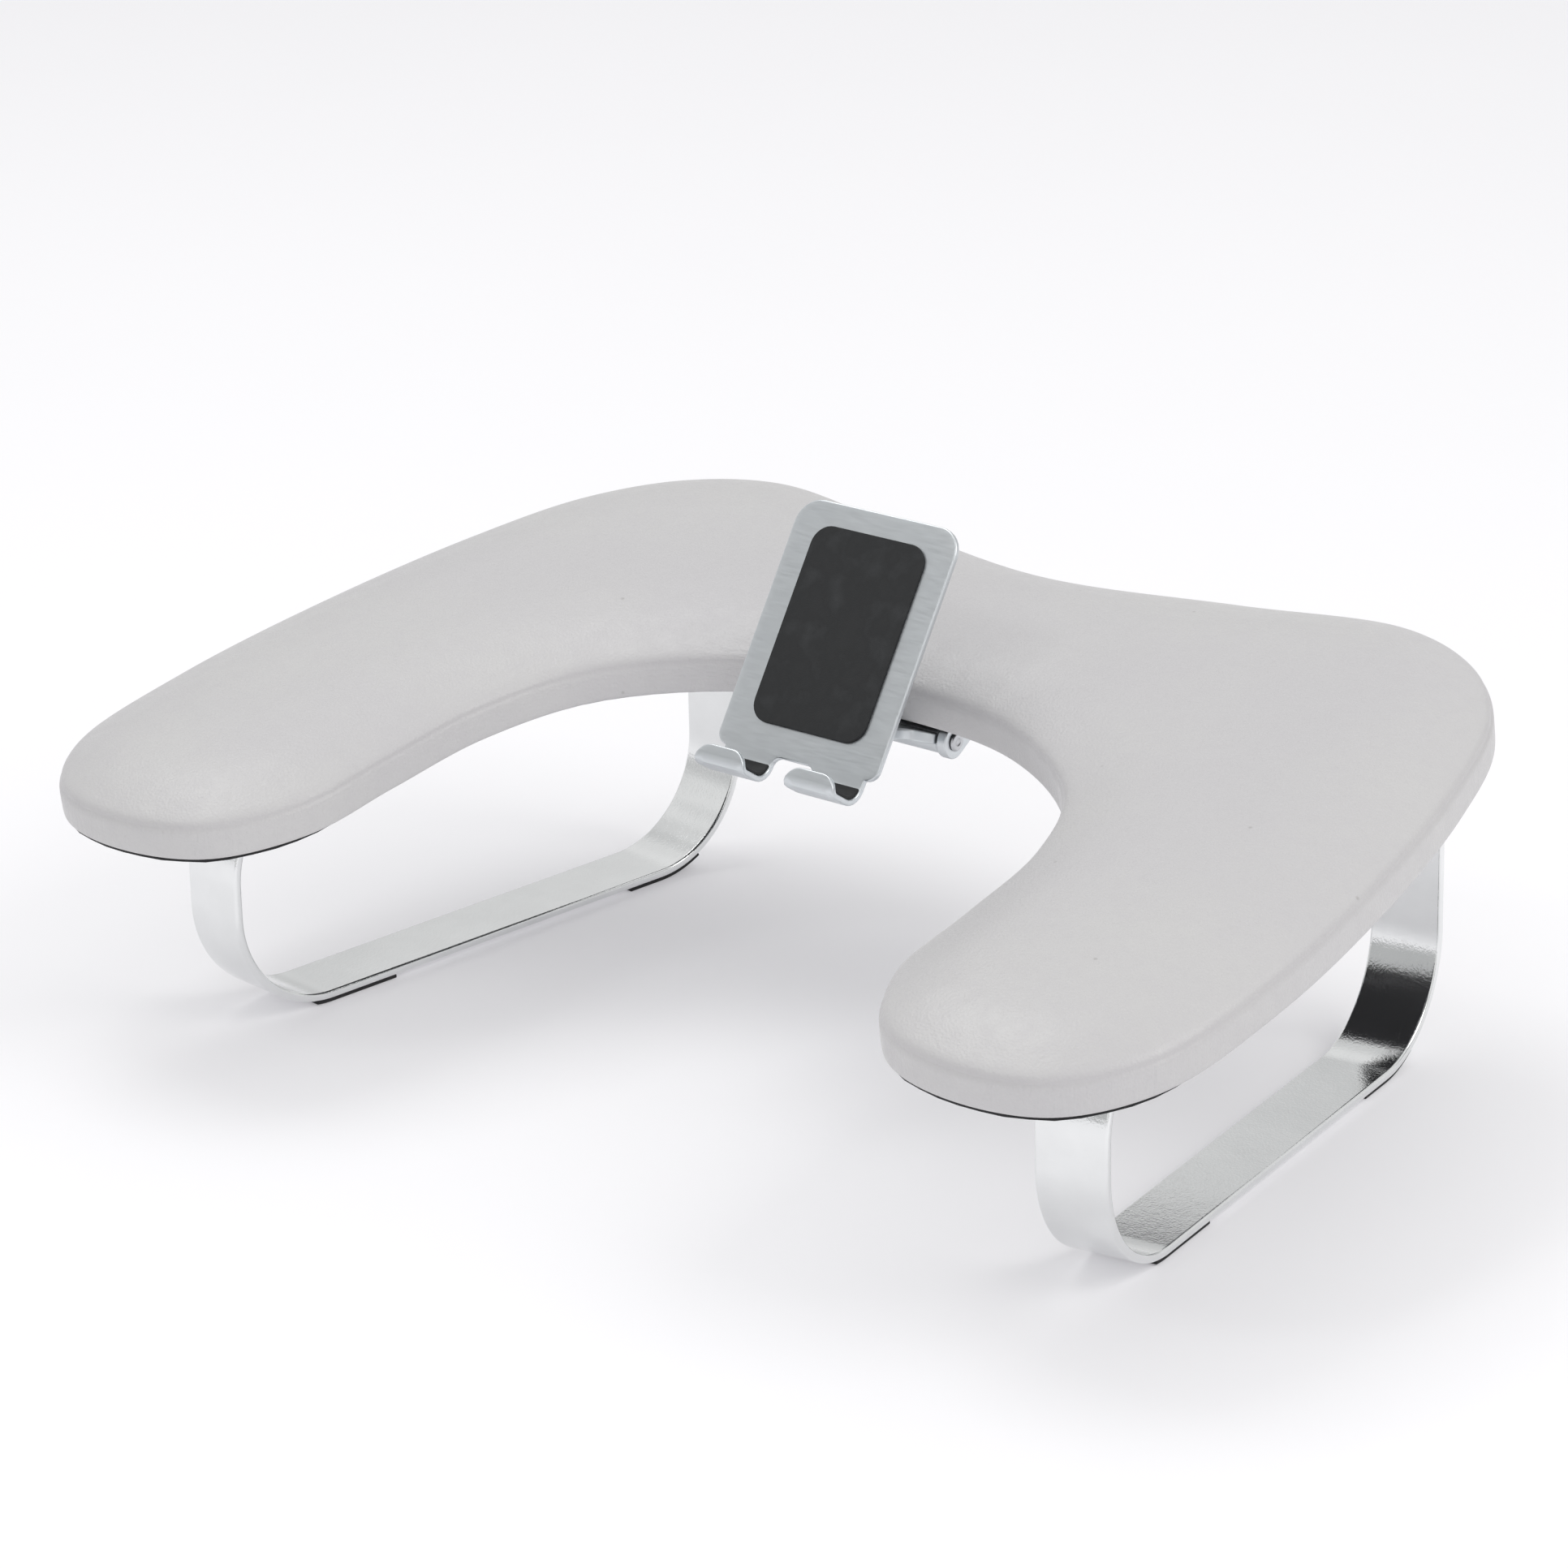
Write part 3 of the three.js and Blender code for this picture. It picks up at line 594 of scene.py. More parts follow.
def cloth_material():
    """Black non-woven cloth: pressed fibres with a fine grid of bonded dimples."""
    cloth = Nodes("underside_cloth", (0.012, 0.012, 0.013), 0.93,
                  Sheen_Weight=0.25, Specular_IOR_Level=0.2)
    fibres = cloth.noise(1, detail=6, roughness=0.75, vector=cloth.mapped((2400, 900, 900), 0.5))
    dimples = cloth.cells(900)
    cloth.color(cloth.mix(fibres, (0.008, 0.008, 0.009), (0.03, 0.03, 0.032)))
    cloth.roughness(cloth.spread(fibres, 0.85, 0.98, 0.3, 0.7))
    cloth.bump(fibres, 0.00012, 0.6)
    cloth.bump(cloth.spread(dimples, 0, 1, 0.1, 0.45), 0.00015, 0.6)
    return cloth.material


def foam_material():
    foam = Nodes("foam", (0.78, 0.7, 0.48), 0.95, Specular_IOR_Level=0.15)
    cells = foam.cells(1400)
    foam.color(foam.mix(cells, (0.62, 0.54, 0.34), (0.82, 0.74, 0.52)))
    foam.bump(cells, 0.0004, 0.8)
    return foam.material


def plywood_material():
    wood = Nodes("board", (0.45, 0.29, 0.15), 0.65)
    grain = wood.noise(1, detail=6, roughness=0.65, vector=wood.mapped((14, 260, 260)))
    wood.color(wood.mix(wood.spread(grain, 0, 1, 0.35, 0.65), (0.36, 0.22, 0.11), (0.6, 0.42, 0.24)))
    wood.roughness(wood.spread(grain, 0.55, 0.75, 0.3, 0.7))
    wood.bump(grain, 0.0002, 0.6)
    return wood.material


LEATHER = leather_material()
ALUMINIUM = aluminium_material()
SCREW_STEEL = steel_material("screw_steel", (0.62, 0.62, 0.64), 0.24)
PIVOT_STEEL = steel_material("pivot_steel", (0.6, 0.61, 0.63), 0.3)
BRASS = steel_material("insert_brass", (0.62, 0.43, 0.16), 0.3)
RUBBER = rubber_material("foot_rubber", (0.014, 0.014, 0.015), 900)
SILICONE = rubber_material("holder_silicone", (0.018, 0.019, 0.02), 2200)
NYLON = rubber_material("washer_plastic", (0.03, 0.03, 0.032), 3000)
CLOTH = cloth_material()


# ---- cushion ----

OUTLINE_COUNT = 400
SKIN = 1.0
# Section of the cover, (inset from the outline, height above the underside): hem, side, crease, shoulder.
HEM_HEIGHT = 0.8
HEM = [(inset, HEM_HEIGHT) for inset in (16, 12, 8, 4, 1.6)]
WALL = [(0.7, 0.95), (0.2, 1.5), (0, 2.6), (0, 5), (0, 7.5), (0, 9.6), (0.12, 10.9)]
CREASE = (0.95, 11.8)
SHOULDER = [
    (0.95, 12.6), (1.35, 13.5), (2.4, 14.5), (4, 15.4), (6.5, 16.5), (9.8, 17.8), (14, 19.1),
    (18.5, 20.2), (23.5, 21.1),
]
CROWN_HEIGHT = 22.0
CROWN_REACH = 10.5
SWELL_CAP, SWELL_SHARE = 5.0, 0.4
SIMULATION_SCALE = 0.01
SIMULATION_FRAMES = 20


def crown(inset):
    """Height of the padded top at a distance from the outline, past the shoulder."""
    last_inset, last_height = SHOULDER[-1]
    return CROWN_HEIGHT - (CROWN_HEIGHT - last_height) * np.exp(-(inset - last_inset) / CROWN_REACH)


def cover_skin():
    """The outer skin of the cover, open inside the hem: the object, each point's inset, the crease's ring."""
    outline = cushion_outline(OUTLINE_COUNT)
    outward = outward_normals(outline)
    section = HEM + WALL + [CREASE] + SHOULDER
    vertices, insets, faces = [], [], []
    for inset, height in section:
        ring = outline - outward * inset
        vertices += [(x, y, height) for x, y in ring]
        insets += [inset] * OUTLINE_COUNT
    for band in range(len(section) - 1):
        faces += ring_band(band * OUTLINE_COUNT, (band + 1) * OUTLINE_COUNT, OUTLINE_COUNT)
    rim = outline - outward * section[-1][0]
    places, top_faces = fill_region(rim, 4.6, 2.6)
    first_rim = (len(section) - 1) * OUTLINE_COUNT
    middle = places[OUTLINE_COUNT:]
    depth = distance_to(outline, middle)
    start = len(vertices)
    vertices += [(x, y, z) for (x, y), z in zip(middle, crown(depth))]
    insets += list(depth)

    def renumber(index):
        return first_rim + index if index < OUTLINE_COUNT else start + index - OUTLINE_COUNT

    faces += [tuple(renumber(index) for index in face) for face in top_faces]
    return mesh_object("cushion_cover", vertices, faces), np.array(insets), len(HEM) + len(WALL)


def vertex_values(mesh, attribute):
    flat = np.zeros(len(mesh.vertices) * 3)
    mesh.vertices.foreach_get(attribute, flat)
    return flat.reshape(-1, 3)


def set_coordinates(mesh, places):
    mesh.vertices.foreach_set("co", np.ascontiguousarray(places, dtype=np.float32).ravel())
    mesh.update()


def swell(piece, pinned):
    """Cloth simulation of the stuffed skin: how far each point moves out, in millimetres."""
    copy = add_object("swelling", piece.data.copy())
    copy.data.transform(Matrix.Scale(SIMULATION_SCALE, 4))
    group = copy.vertex_groups.new(name="pinned")
    group.add([int(index) for index in np.flatnonzero(pinned)], 1.0, "REPLACE")
    modifier = copy.modifiers.new("cloth", "CLOTH")
    settings = modifier.settings
    settings.vertex_group_mass = "pinned"
    settings.quality = 6
    settings.mass = 0.25
    settings.tension_stiffness = 25
    settings.compression_stiffness = 25
    settings.shear_stiffness = 10
    settings.bending_stiffness = 1.5
    settings.air_damping = 4
    settings.use_pressure = True
    settings.uniform_pressure_force = 4
    settings.effector_weights.gravity = 0
    scene = bpy.context.scene
    rest = vertex_values(copy.data, "co")
    normals = vertex_values(copy.data, "normal")
    for number in range(1, SIMULATION_FRAMES + 1):
        scene.frame_set(number)
    graph = bpy.context.evaluated_depsgraph_get()
    moved = vertex_values(copy.evaluated_get(graph).data, "co")
    scene.frame_set(1)
    bpy.data.objects.remove(copy)
    lift = ((moved - rest) * normals).sum(axis=1) / SIMULATION_SCALE
    return np.clip(lift, 0, SWELL_CAP)


def store(mesh, name, values):
    attribute = mesh.attributes.new(name, "FLOAT", "POINT")
    attribute.data.foreach_set("value", np.ascontiguousarray(values, dtype=np.float32))


def add_cushion():
    piece, insets, crease_ring = cover_skin()
    turn_outwards(piece)
    pinned_count = (crease_ring + 1) * OUTLINE_COUNT
    pinned = np.arange(len(insets)) < pinned_count
    places = vertex_values(piece.data, "co")
    lift = swell(piece, pinned)
    normals = vertex_values(piece.data, "normal")
    places = places + normals * lift[:, None] * SWELL_SHARE
    set_coordinates(piece.data, places)
    ring_number = np.arange(len(insets)) // OUTLINE_COUNT
    # Painted shade: a mask that is 1 on the crease ring and fades over the rings and the top beside it; it
    # darkens the leather's colour there.
    crease_shade_mask = np.where(pinned, np.clip(1 - np.abs(ring_number - crease_ring) / 1.5, 0, 1), 0)
    crease_shade_mask[~pinned] = np.clip(1 - (insets[~pinned] - CREASE[0]) / 1.2, 0, 1)
    x, y = places[:, 0], places[:, 1]
    # Fine wrinkles gather on the inner side of the U, towards its left.
    inner_back = np.exp(-((x + 38) / 30) ** 2) * (y > 20) * np.clip((92 - y) / 30, 0, 1)
    wrinkle = inner_back * np.clip(1 - insets / 22, 0, 1) * (ring_number >= len(HEM))
    store(piece.data, "crease_shade", crease_shade_mask)
    store(piece.data, "wrinkle", wrinkle)
    # Pleats of the stretched leather, on the side band round the tips and the rear corners.
    front_tip = np.clip((-70 - y) / 40, 0, 1)
    rear_corner = np.clip((np.abs(x) - 150) / 40, 0, 1) * np.clip((y - 40) / 60, 0, 1)
    on_wall = (ring_number >= len(HEM)) & (ring_number < crease_ring)
    store(piece.data, "pleat", np.clip(front_tip + rear_corner, 0, 1) * on_wall)
    thicken(piece, SKIN, even=True)
    finer = piece.modifiers.new("finer", "SUBSURF")
    finer.levels = finer.render_levels = 1
    apply_modifiers(piece)
    piece.data.shade_smooth()
    settle(piece, CUSHION_FRAME, "rest", "cover_leather", LEATHER, "leather_cover")


# ---- underside ----

CLOTH_INSET, CLOTH_TIP_INSET = 2.8, 1.4
CLOTH_FOLD_WIDTH, CLOTH_FOLD_DROP = 4, 0.4
CLOTH_THICKNESS = 0.6
CLOTH_SCREW_HOLE, BRACKET_SCREW_HOLE = 2.7, 1.9
STAPLE_COUNT = 68
STAPLE_INSET = 9
STAPLE_LENGTH, STAPLE_WIRE = 10.5, 1.1


def leg_path():
    half = LEG_LENGTH / 2 - BAR_THICKNESS / 2
    low = PAD_THICKNESS + BAR_THICKNESS / 2

    def top(u):
        underside = UNDERSIDE_HEIGHT + math.tan(CUSHION_TILT) * (LEG_Y + u * math.cos(LEG_SPLAY))
        return underside - FLANGE_GAP - BAR_THICKNESS / 2

    front_end = -half + LEG_TOP_FRONT_RADIUS + LEG_FLANGE_LENGTH
    rear_end = half - LEG_BEND_RADIUS - LEG_FLANGE_LENGTH
    return rounded_path([
        (front_end, top(front_end), 0),
        (-half, top(-half), LEG_TOP_FRONT_RADIUS),
        (-half, low, LEG_BEND_RADIUS),
        (half, low, LEG_BEND_RADIUS),
        (half, top(half), LEG_BEND_RADIUS),
        (rear_end, top(rear_end), 0),
    ])


def leg_screw_places(side):
    """Places of a leg's four screws in the cushion's own frame."""
    path = leg_path()
    front, rear = path[0].x, path[-1].x
    spots = [u for inset in LEG_SCREW_INSETS for u in (front - inset, rear + inset)]
    return [(side * (LEG_X - u * math.sin(LEG_SPLAY)),
             (LEG_Y + u * math.cos(LEG_SPLAY)) / math.cos(CUSHION_TILT)) for u in spots]


def bracket_screw_places():
    return [(x, HINGE_Y + y) for x, y in BRACKET_SCREWS]


def add_underside_cloth():
    outline = cushion_outline(200)
    outward = outward_normals(outline)
    at_tip = np.clip((-95 - outline[:, 1]) / 25, 0, 1)[:, None]
    inset = CLOTH_INSET + (CLOTH_TIP_INSET - CLOTH_INSET) * at_tip
    edge = outline - outward * inset
    screws = [(place, CLOTH_SCREW_HOLE) for side in SIDES.values() for place in leg_screw_places(side)]
    screws += [(place, BRACKET_SCREW_HOLE) for place in bracket_screw_places()]
    holes = [circle(*place, radius, 12) for place, radius in screws]
    inner = outline - outward * (inset + CLOTH_FOLD_WIDTH)
    ring = outline - outward * (inset + CLOTH_FOLD_WIDTH + 1.2)
    places, faces = fill_region(ring, 7, 3, holes)
    first, count = len(places), len(outline)
    places = np.vstack([places, inner, edge])
    faces += ring_band(0, first, count) + ring_band(first, first + count, count)
    clear = distance_to(edge, places)
    pressed = np.min([np.hypot(*(places - place).T) for place, _ in screws], axis=0)
    loose = np.clip((pressed - 16) / 25, 0, 1) * np.clip((clear - 6) / 18, 0, 1)
    # Away from its edge and its screws the cloth hangs a little, in soft waves.
    x, y = places[:, 0], places[:, 1]
    wave = np.sin(x * 0.11 + 1.3 * np.sin(y * 0.07)) * np.cos(y * 0.09 + 0.6)
    height = CLOTH_THICKNESS - 0.55 * loose * (1 + 0.7 * wave)
    # Under the two tips the folded edge hangs lower, which shows as a thin black line.
    slack = np.clip((-95 - y) / 25, 0, 1) * (0.7 + 0.3 * np.sin(x * 0.35))
    height[first:] -= (CLOTH_FOLD_DROP * slack)[first:]
    vertices = np.column_stack([places, height])
    piece = mesh_object("underside_fabric", vertices, faces)
    thicken(piece, CLOTH_THICKNESS)
    shade(piece, 50)
    settle(piece, CUSHION_FRAME, "rest", "underside_cloth", CLOTH, "dust_cloth")


def add_staples():
    """Wire staples that hold the cloth and the cover's hem to the board."""
    random.seed(7)
    outline = cushion_outline(STAPLE_COUNT)
    outward = outward_normals(outline)
    section = rounded_section(STAPLE_WIRE, -0.45, 0.25, 0.2, 2)
    half = STAPLE_LENGTH / 2
    path = rounded_path([(-half, 2.2, 0), (-half, 0, 0.9), (half, 0, 0.9), (half, 2.2, 0)], math.radians(18))
    shape = bmesh.new()
    for point, normal in zip(outline, outward):
        spot = point - normal * (STAPLE_INSET + random.uniform(-1, 1))
        angle = math.atan2(normal[1], normal[0]) + random.uniform(-0.14, 0.14)
        under_bracket = abs(spot[0]) < 27 and 40 < spot[1] < 80
        if under_bracket:
            continue
        staple = sweep("staple", path, section)
        turn = move(spot[0], spot[1], -0.25) @ Matrix.Rotation(angle, 4, "Z")
        staple.data.transform(turn)
        shape.from_mesh(staple.data)
        bpy.data.objects.remove(staple)
    piece = mesh_object("underside_staples", [], [])
    shape.to_mesh(piece.data)
    shape.free()
    shade(piece, 50)
    settle(piece, CUSHION_FRAME, "rest", "screw_steel", SCREW_STEEL)


# ---- legs ----

def add_leg(side_name, side):
    section = rounded_section(BAR_WIDTH, -BAR_THICKNESS / 2, BAR_THICKNESS / 2, 1.0)
    piece = sweep(f"leg_bar_{side_name}", leg_path(), section)
    place = leg_frame(side)
    into_leg = place.inverted() @ CUSHION_FRAME
    for x, y in leg_screw_places(side):
        drill = cylinder("drill", 3.2, -8, 4)
        drill.data.transform(into_leg @ move(x, y, 0))
        cut(piece, drill)
    shade(piece)
    material = chrome_material(f"leg_chrome_{side_name}", -side * LEG_SPLAY)
    settle(piece, place, "rest", "leg_chrome", material, f"leg_{side_name}")


def foot_path(flat, bend, end):
    """Middle line of a rubber strip that starts on the flat of the bar and runs up its bend."""
    half = LEG_LENGTH / 2 - LEG_BEND_RADIUS - BAR_THICKNESS / 2
    reach = LEG_BEND_RADIUS + BAR_THICKNESS / 2 + PAD_THICKNESS / 2
    centre = PAD_THICKNESS + BAR_THICKNESS / 2 + LEG_BEND_RADIUS
    points = [Vector((half - flat + flat * k / 6, PAD_THICKNESS / 2)) for k in range(6)]
    steps = 14
    for k in range(steps + 1):
        angle = math.radians(bend) * k / steps
        points.append(Vector((half + reach * math.sin(angle), centre - reach * math.cos(angle))))
    return [Vector((end * point.x, point.y)) for point in points]


def add_feet(side_name, side):
    for end_name, end, flat, bend in (("front", -1, 28, 9), ("rear", 1, 14, 27)):
        section = rounded_section(BAR_WIDTH - 2, -PAD_THICKNESS / 2, PAD_THICKNESS / 2 - 0.1, 0.35, 3)
        if end < 0:
            section = [(across, -off) for across, off in section]
        piece = sweep(f"rubber_foot_{side_name}_{end_name}", foot_path(flat, bend, end), section)
        shade(piece, 45)
        settle(piece, leg_frame(side), "rest", "foot_rubber", RUBBER, f"foot_pad_{side_name}_{end_name}")


# ---- fasteners ----

def cross_slot(name, reach, width, depth):
    """The cutter for a cross recess that narrows towards its floor, with its mouth at Z = 0."""
    arms = []
    for turn in (0, 90):
        top, low = reach, reach * 0.45
        half, foot = width / 2, width * 0.36
        vertices = [(sx * top, sy * half, -0.6) for sx, sy in ((-1, -1), (1, -1), (1, 1), (-1, 1))]
        vertices += [(sx * low, sy * foot, depth) for sx, sy in ((-1, -1), (1, -1), (1, 1), (-1, 1))]
        faces = [(0, 3, 2, 1), (4, 5, 6, 7), (0, 1, 5, 4), (1, 2, 6, 5), (2, 3, 7, 6), (3, 0, 4, 7)]
        arm = mesh_object(name, vertices, faces)
        arm.data.transform(Matrix.Rotation(math.radians(turn), 4, "Z"))
        arms.append(turn_outwards(arm))
    return join(arms[0], arms[1])


def screw_mesh(name, radius, length, head_radius, head_height):
    """A pan-head screw that points up, its head below Z = 0."""
    dome = []
    for k in range(9):
        angle = math.radians(90 * k / 8)
        dome.append((head_radius * 0.62 + head_radius * 0.38 * math.sin(angle),
                     -head_height + head_height * 0.75 * (1 - math.cos(angle))))
    profile = [(0, -head_height), *dome, (head_radius, -0.15), (head_radius - 0.15, 0), (radius, 0),
               (radius, length - 0.8), (radius - 0.6, length), (0, length)]
    piece = lathe(name, profile)
    cutter = cross_slot("cross", head_radius * 0.55, head_radius * 0.2, head_height * 0.62)
    cutter.data.transform(move(0, 0, -head_height))
    cut(piece, cutter)
    mesh = shade(piece).data
    bpy.data.objects.remove(piece)
    return mesh


LEG_SCREW = {"radius": 2.4, "length": 13.5, "head_radius": 4.6, "head_height": 2.6}
BRACKET_SCREW = {"radius": 1.6, "length": 12, "head_radius": 3.4, "head_height": 1.9}
BRACKET_UNDERSIDE = -3.2


def add_screws():
    head_top = -FLANGE_GAP - BAR_THICKNESS - 0.4
    random.seed(11)
    for side_name, side in SIDES.items():
        for number, (x, y) in enumerate(leg_screw_places(side), 1):
            mesh = screw_mesh("leg_screw", **LEG_SCREW)
            name = f"{side_name}_{number}"
            add_screw(f"machine_screw_{name}", mesh, (x, y, head_top), f"leg_screw_{name}")
    for number, (x, y) in enumerate(bracket_screw_places(), 1):
        mesh = screw_mesh("bracket_screw", **BRACKET_SCREW)
        place = (x, y, BRACKET_UNDERSIDE)
        add_screw(f"wood_screw_{number}", mesh, place, f"bracket_screw_{number}")


def add_screw(name, mesh, place, node):
    piece = add_object(name, mesh)
    turn = Matrix.Rotation(random.uniform(0, math.pi / 2), 4, "Z")
    settle(piece, CUSHION_FRAME @ Matrix.Translation(place) @ turn, "rest", "screw_steel", SCREW_STEEL, node)


ALONG_X = Matrix.Rotation(math.pi / 2, 4, "Y")
CHAMFER = 0.1
WASHER_RADIUS, WASHER_THICKNESS, WASHER_GAP = 4.4, 0.6, 0.15


def hinge_pin(name, shank, head_radius=3.3, head_height=0.8):
    """A pin that points along X, with a chamfered tip and a low riveted head."""
    profile = [(0, 0), (1.8, 0), (2.2, 0.4), (2.2, shank)]
    profile += [(head_radius - CHAMFER, shank), (head_radius, shank + CHAMFER)]
    for k in range(1, 8):
        angle = math.radians(90 * k / 8)
        profile.append((head_radius - 1.1 * (1 - math.cos(angle)),
                        shank + CHAMFER + (head_height - CHAMFER) * math.sin(angle)))
    top = shank + head_height
    profile += [(1.4, top), (1.1, top - 0.25), (0, top - 0.3)]
    piece = lathe(name, profile)
    piece.data.transform(ALONG_X)
    return shade(piece)


def nut(name, across_flats, height):
    """A hexagon nut with chamfered corners, its axis along X."""
    reach, half = across_flats / math.sqrt(3), height / 2
    body = cylinder(name, reach, -half, half, 6)
    dome = lathe("chamfer", [(0, -half), (reach - 0.7, -half), (reach + 0.2, -half + 0.6),
                             (reach + 0.2, half - 0.6), (reach - 0.7, half), (0, half)])
    boolean(body, dome, "INTERSECT")
    cut(body, cylinder("bore", PIN_HOLE_RADIUS - 0.25, -height, height))
    body.data.transform(ALONG_X)
    return shade(body, 35)


def washer(name):
    bore, rim, top = PIN_HOLE_RADIUS, WASHER_RADIUS, WASHER_THICKNESS
    piece = lathe(name, [(bore, 0), (rim - CHAMFER, 0), (rim, CHAMFER), (rim, top - CHAMFER),
                         (rim - CHAMFER, top), (bore, top), (bore, 0)])
    piece.data.transform(ALONG_X)
    return shade(piece)


# ---- phone holder ----

YZX = Matrix(((0, 0, 1, 0), (1, 0, 0, 0), (0, 1, 0, 0), (0, 0, 0, 1)))


def side_plate(name, outline, width, bevel, holes=()):
    """A plate whose outline is drawn in (y, z), centred on X = 0."""
    piece = extruded(name, outline, width, bevel, holes)
    piece.data.transform(YZX)
    return piece


def add_bracket():
    top = HINGE_DROP - 0.1
    plate_start, plate_end, plate_thickness = 6.8, 52, 3
    corner, plate_edge, ear_edge = 4, 0.35, 0.5
    shape = rounded_rectangle(BRACKET_HALF_WIDTH, plate_start, plate_end, corner)
    plate = extruded("bracket_body", shape, plate_thickness, plate_edge)
    plate.data.transform(move(0, 0, top - plate_thickness / 2))
    ear_radius, ear_thickness, ear_reach, ear_top = 6, 3.5, 24, top - 0.15
    for side in SIDES.values():
        outline = arc(0, 0, ear_radius, 100.8, 280.8, 24)
        outline += [(ear_reach, top - plate_thickness), (ear_reach, ear_top), (plate_start + 0.2, ear_top)]
        ear = side_plate("ear", outline, ear_thickness, ear_edge)
        ear.data.transform(move(side * (BRACKET_HALF_WIDTH - ear_thickness / 2), 0, 0))
        join(plate, ear)
    for x, y in BRACKET_SCREWS:
        drill = cylinder("drill", 2.1, -4, 12, 28)
        drill.data.transform(move(x, y, 0))
        cut(plate, drill)
    drill_along_x(plate, 0)
    shade(plate, 35)
    settle(plate, HOLDER_FRAME, "rest", "holder_aluminium", ALUMINIUM, "holder_bracket")


def drill_along_x(piece, y):
    pin = cylinder("pin", PIN_HOLE_RADIUS, -40, 40)
    pin.data.transform(move(0, y, 0) @ ALONG_X)
    return cut(piece, pin)


def knuckle(radius, half, y):
    piece = lathe("knuckle", [(0, -half), (radius - 0.4, -half), (radius, -half + 0.4),
                              (radius, half - 0.4), (radius - 0.4, half), (0, half)], 40)
    piece.data.transform(move(0, y, 0) @ ALONG_X)
    return piece


def smooth_side(points, steps=8):
    """Corner points joined by quadratic curves through the marked ones: (x, y) or (cx, cy, x, y)."""
    line = [points[0]]
    for point in points[1:]:
        if len(point) == 2:
            line.append(point)
            continue
        (x0, y0), (cx, cy, x1, y1) = line[-1][:2], point
        for k in range(1, steps + 1):
            t = k / steps
            line.append(((1 - t) ** 2 * x0 + 2 * t * (1 - t) * cx + t * t * x1,
                         (1 - t) ** 2 * y0 + 2 * t * (1 - t) * cy + t * t * y1))
    return line


def add_arm():
    waist, blend, lower, upper = 8, 12, 15.6, 12
    right = smooth_side([
        (lower, -2), (lower, -5), (lower, -7, waist + 2, -10), (waist, -blend, waist, -blend - 4),
        (waist, -ARM_LENGTH + blend), (waist, -ARM_LENGTH + 7, upper, -ARM_LENGTH + 4),
        (upper, -ARM_LENGTH + 2),
    ])
    thickness, edge_radius, knuckle_radius = 4, 0.8, 5
    blade = extruded("arm_link", mirrored(right), thickness, edge_radius)
    join(blade, knuckle(knuckle_radius, lower, 0))
    join(blade, knuckle(knuckle_radius, upper, -ARM_LENGTH))
    drill_along_x(blade, 0)
    drill_along_x(blade, -ARM_LENGTH)
    shade(blade, 35)
    settle(blade, ARM_FRAME, "arm", "holder_aluminium", ALUMINIUM, "holder_arm")


CRADLE_BACK = -8
CRADLE_SHEET = 2
CRADLE_BOTTOM, CRADLE_TOP, CRADLE_WIDTH, CRADLE_CORNER = -24, 72, 66, 9
PANEL_BOTTOM = -14
HOOK_WIDTH, HOOK_PITCH, HOOK_DEPTH, HOOK_HEIGHT = 20.5, 37, 16, 7
HOOK_BACK_RADIUS, HOOK_FRONT_RADIUS = 7, 3
LIP_CORNER = 6.2


def hook_path():
    """Middle line of the cradle's sheet, from the top of the panel down and round to the lip."""
    back = CRADLE_BACK - CRADLE_SHEET / 2
    low = CRADLE_BOTTOM + CRADLE_SHEET / 2
    front = CRADLE_BACK - HOOK_DEPTH + CRADLE_SHEET / 2
    return rounded_path([
        (back, CRADLE_TOP, 0),
        (back, low, HOOK_BACK_RADIUS - CRADLE_SHEET / 2),
        (front, low, HOOK_FRONT_RADIUS - CRADLE_SHEET / 2),
        (front, CRADLE_BOTTOM + HOOK_HEIGHT, 0),
    ], math.radians(9))


def path_lengths(path):
    lengths = [0.0]
    for a, b in zip(path, path[1:]):
        lengths.append(lengths[-1] + (b - a).length)
    return lengths


def along_path(path, lengths, distance, offset=0.0):
    """The point at a distance along a path, moved to its left by an offset."""
    index = 0
    while index < len(path) - 2 and lengths[index + 1] < distance:
        index += 1
    t = (distance - lengths[index]) / (lengths[index + 1] - lengths[index])
    frames = path_frames(path)
    spot = frames[index][0].lerp(frames[index + 1][0], t)
    return spot + frames[index][1].lerp(frames[index + 1][1], t).normalized() * offset


def flat_cradle(total):
    """Right half of the cradle's flat blank, (x, distance below the top edge), then mirrored."""
    half = CRADLE_WIDTH / 2
    panel_end = CRADLE_TOP - PANEL_BOTTOM
    inner, outer = HOOK_PITCH / 2 - HOOK_WIDTH / 2, HOOK_PITCH / 2 + HOOK_WIDTH / 2
    lower_corner, fillet = 4.2, 3
    side = arc(half - CRADLE_CORNER, CRADLE_CORNER, CRADLE_CORNER, -90, 0)
    side += arc(half - lower_corner, panel_end - lower_corner, lower_corner, 0, 90)
    side.append((outer, panel_end + 0.5))
    side += arc(outer - LIP_CORNER, total - LIP_CORNER, LIP_CORNER, 0, 90)
    side += arc(inner + LIP_CORNER, total - LIP_CORNER, LIP_CORNER, 90, 180)
    side += arc(inner - fillet, panel_end + fillet, fillet, 0, -90)
    return mirrored(side)


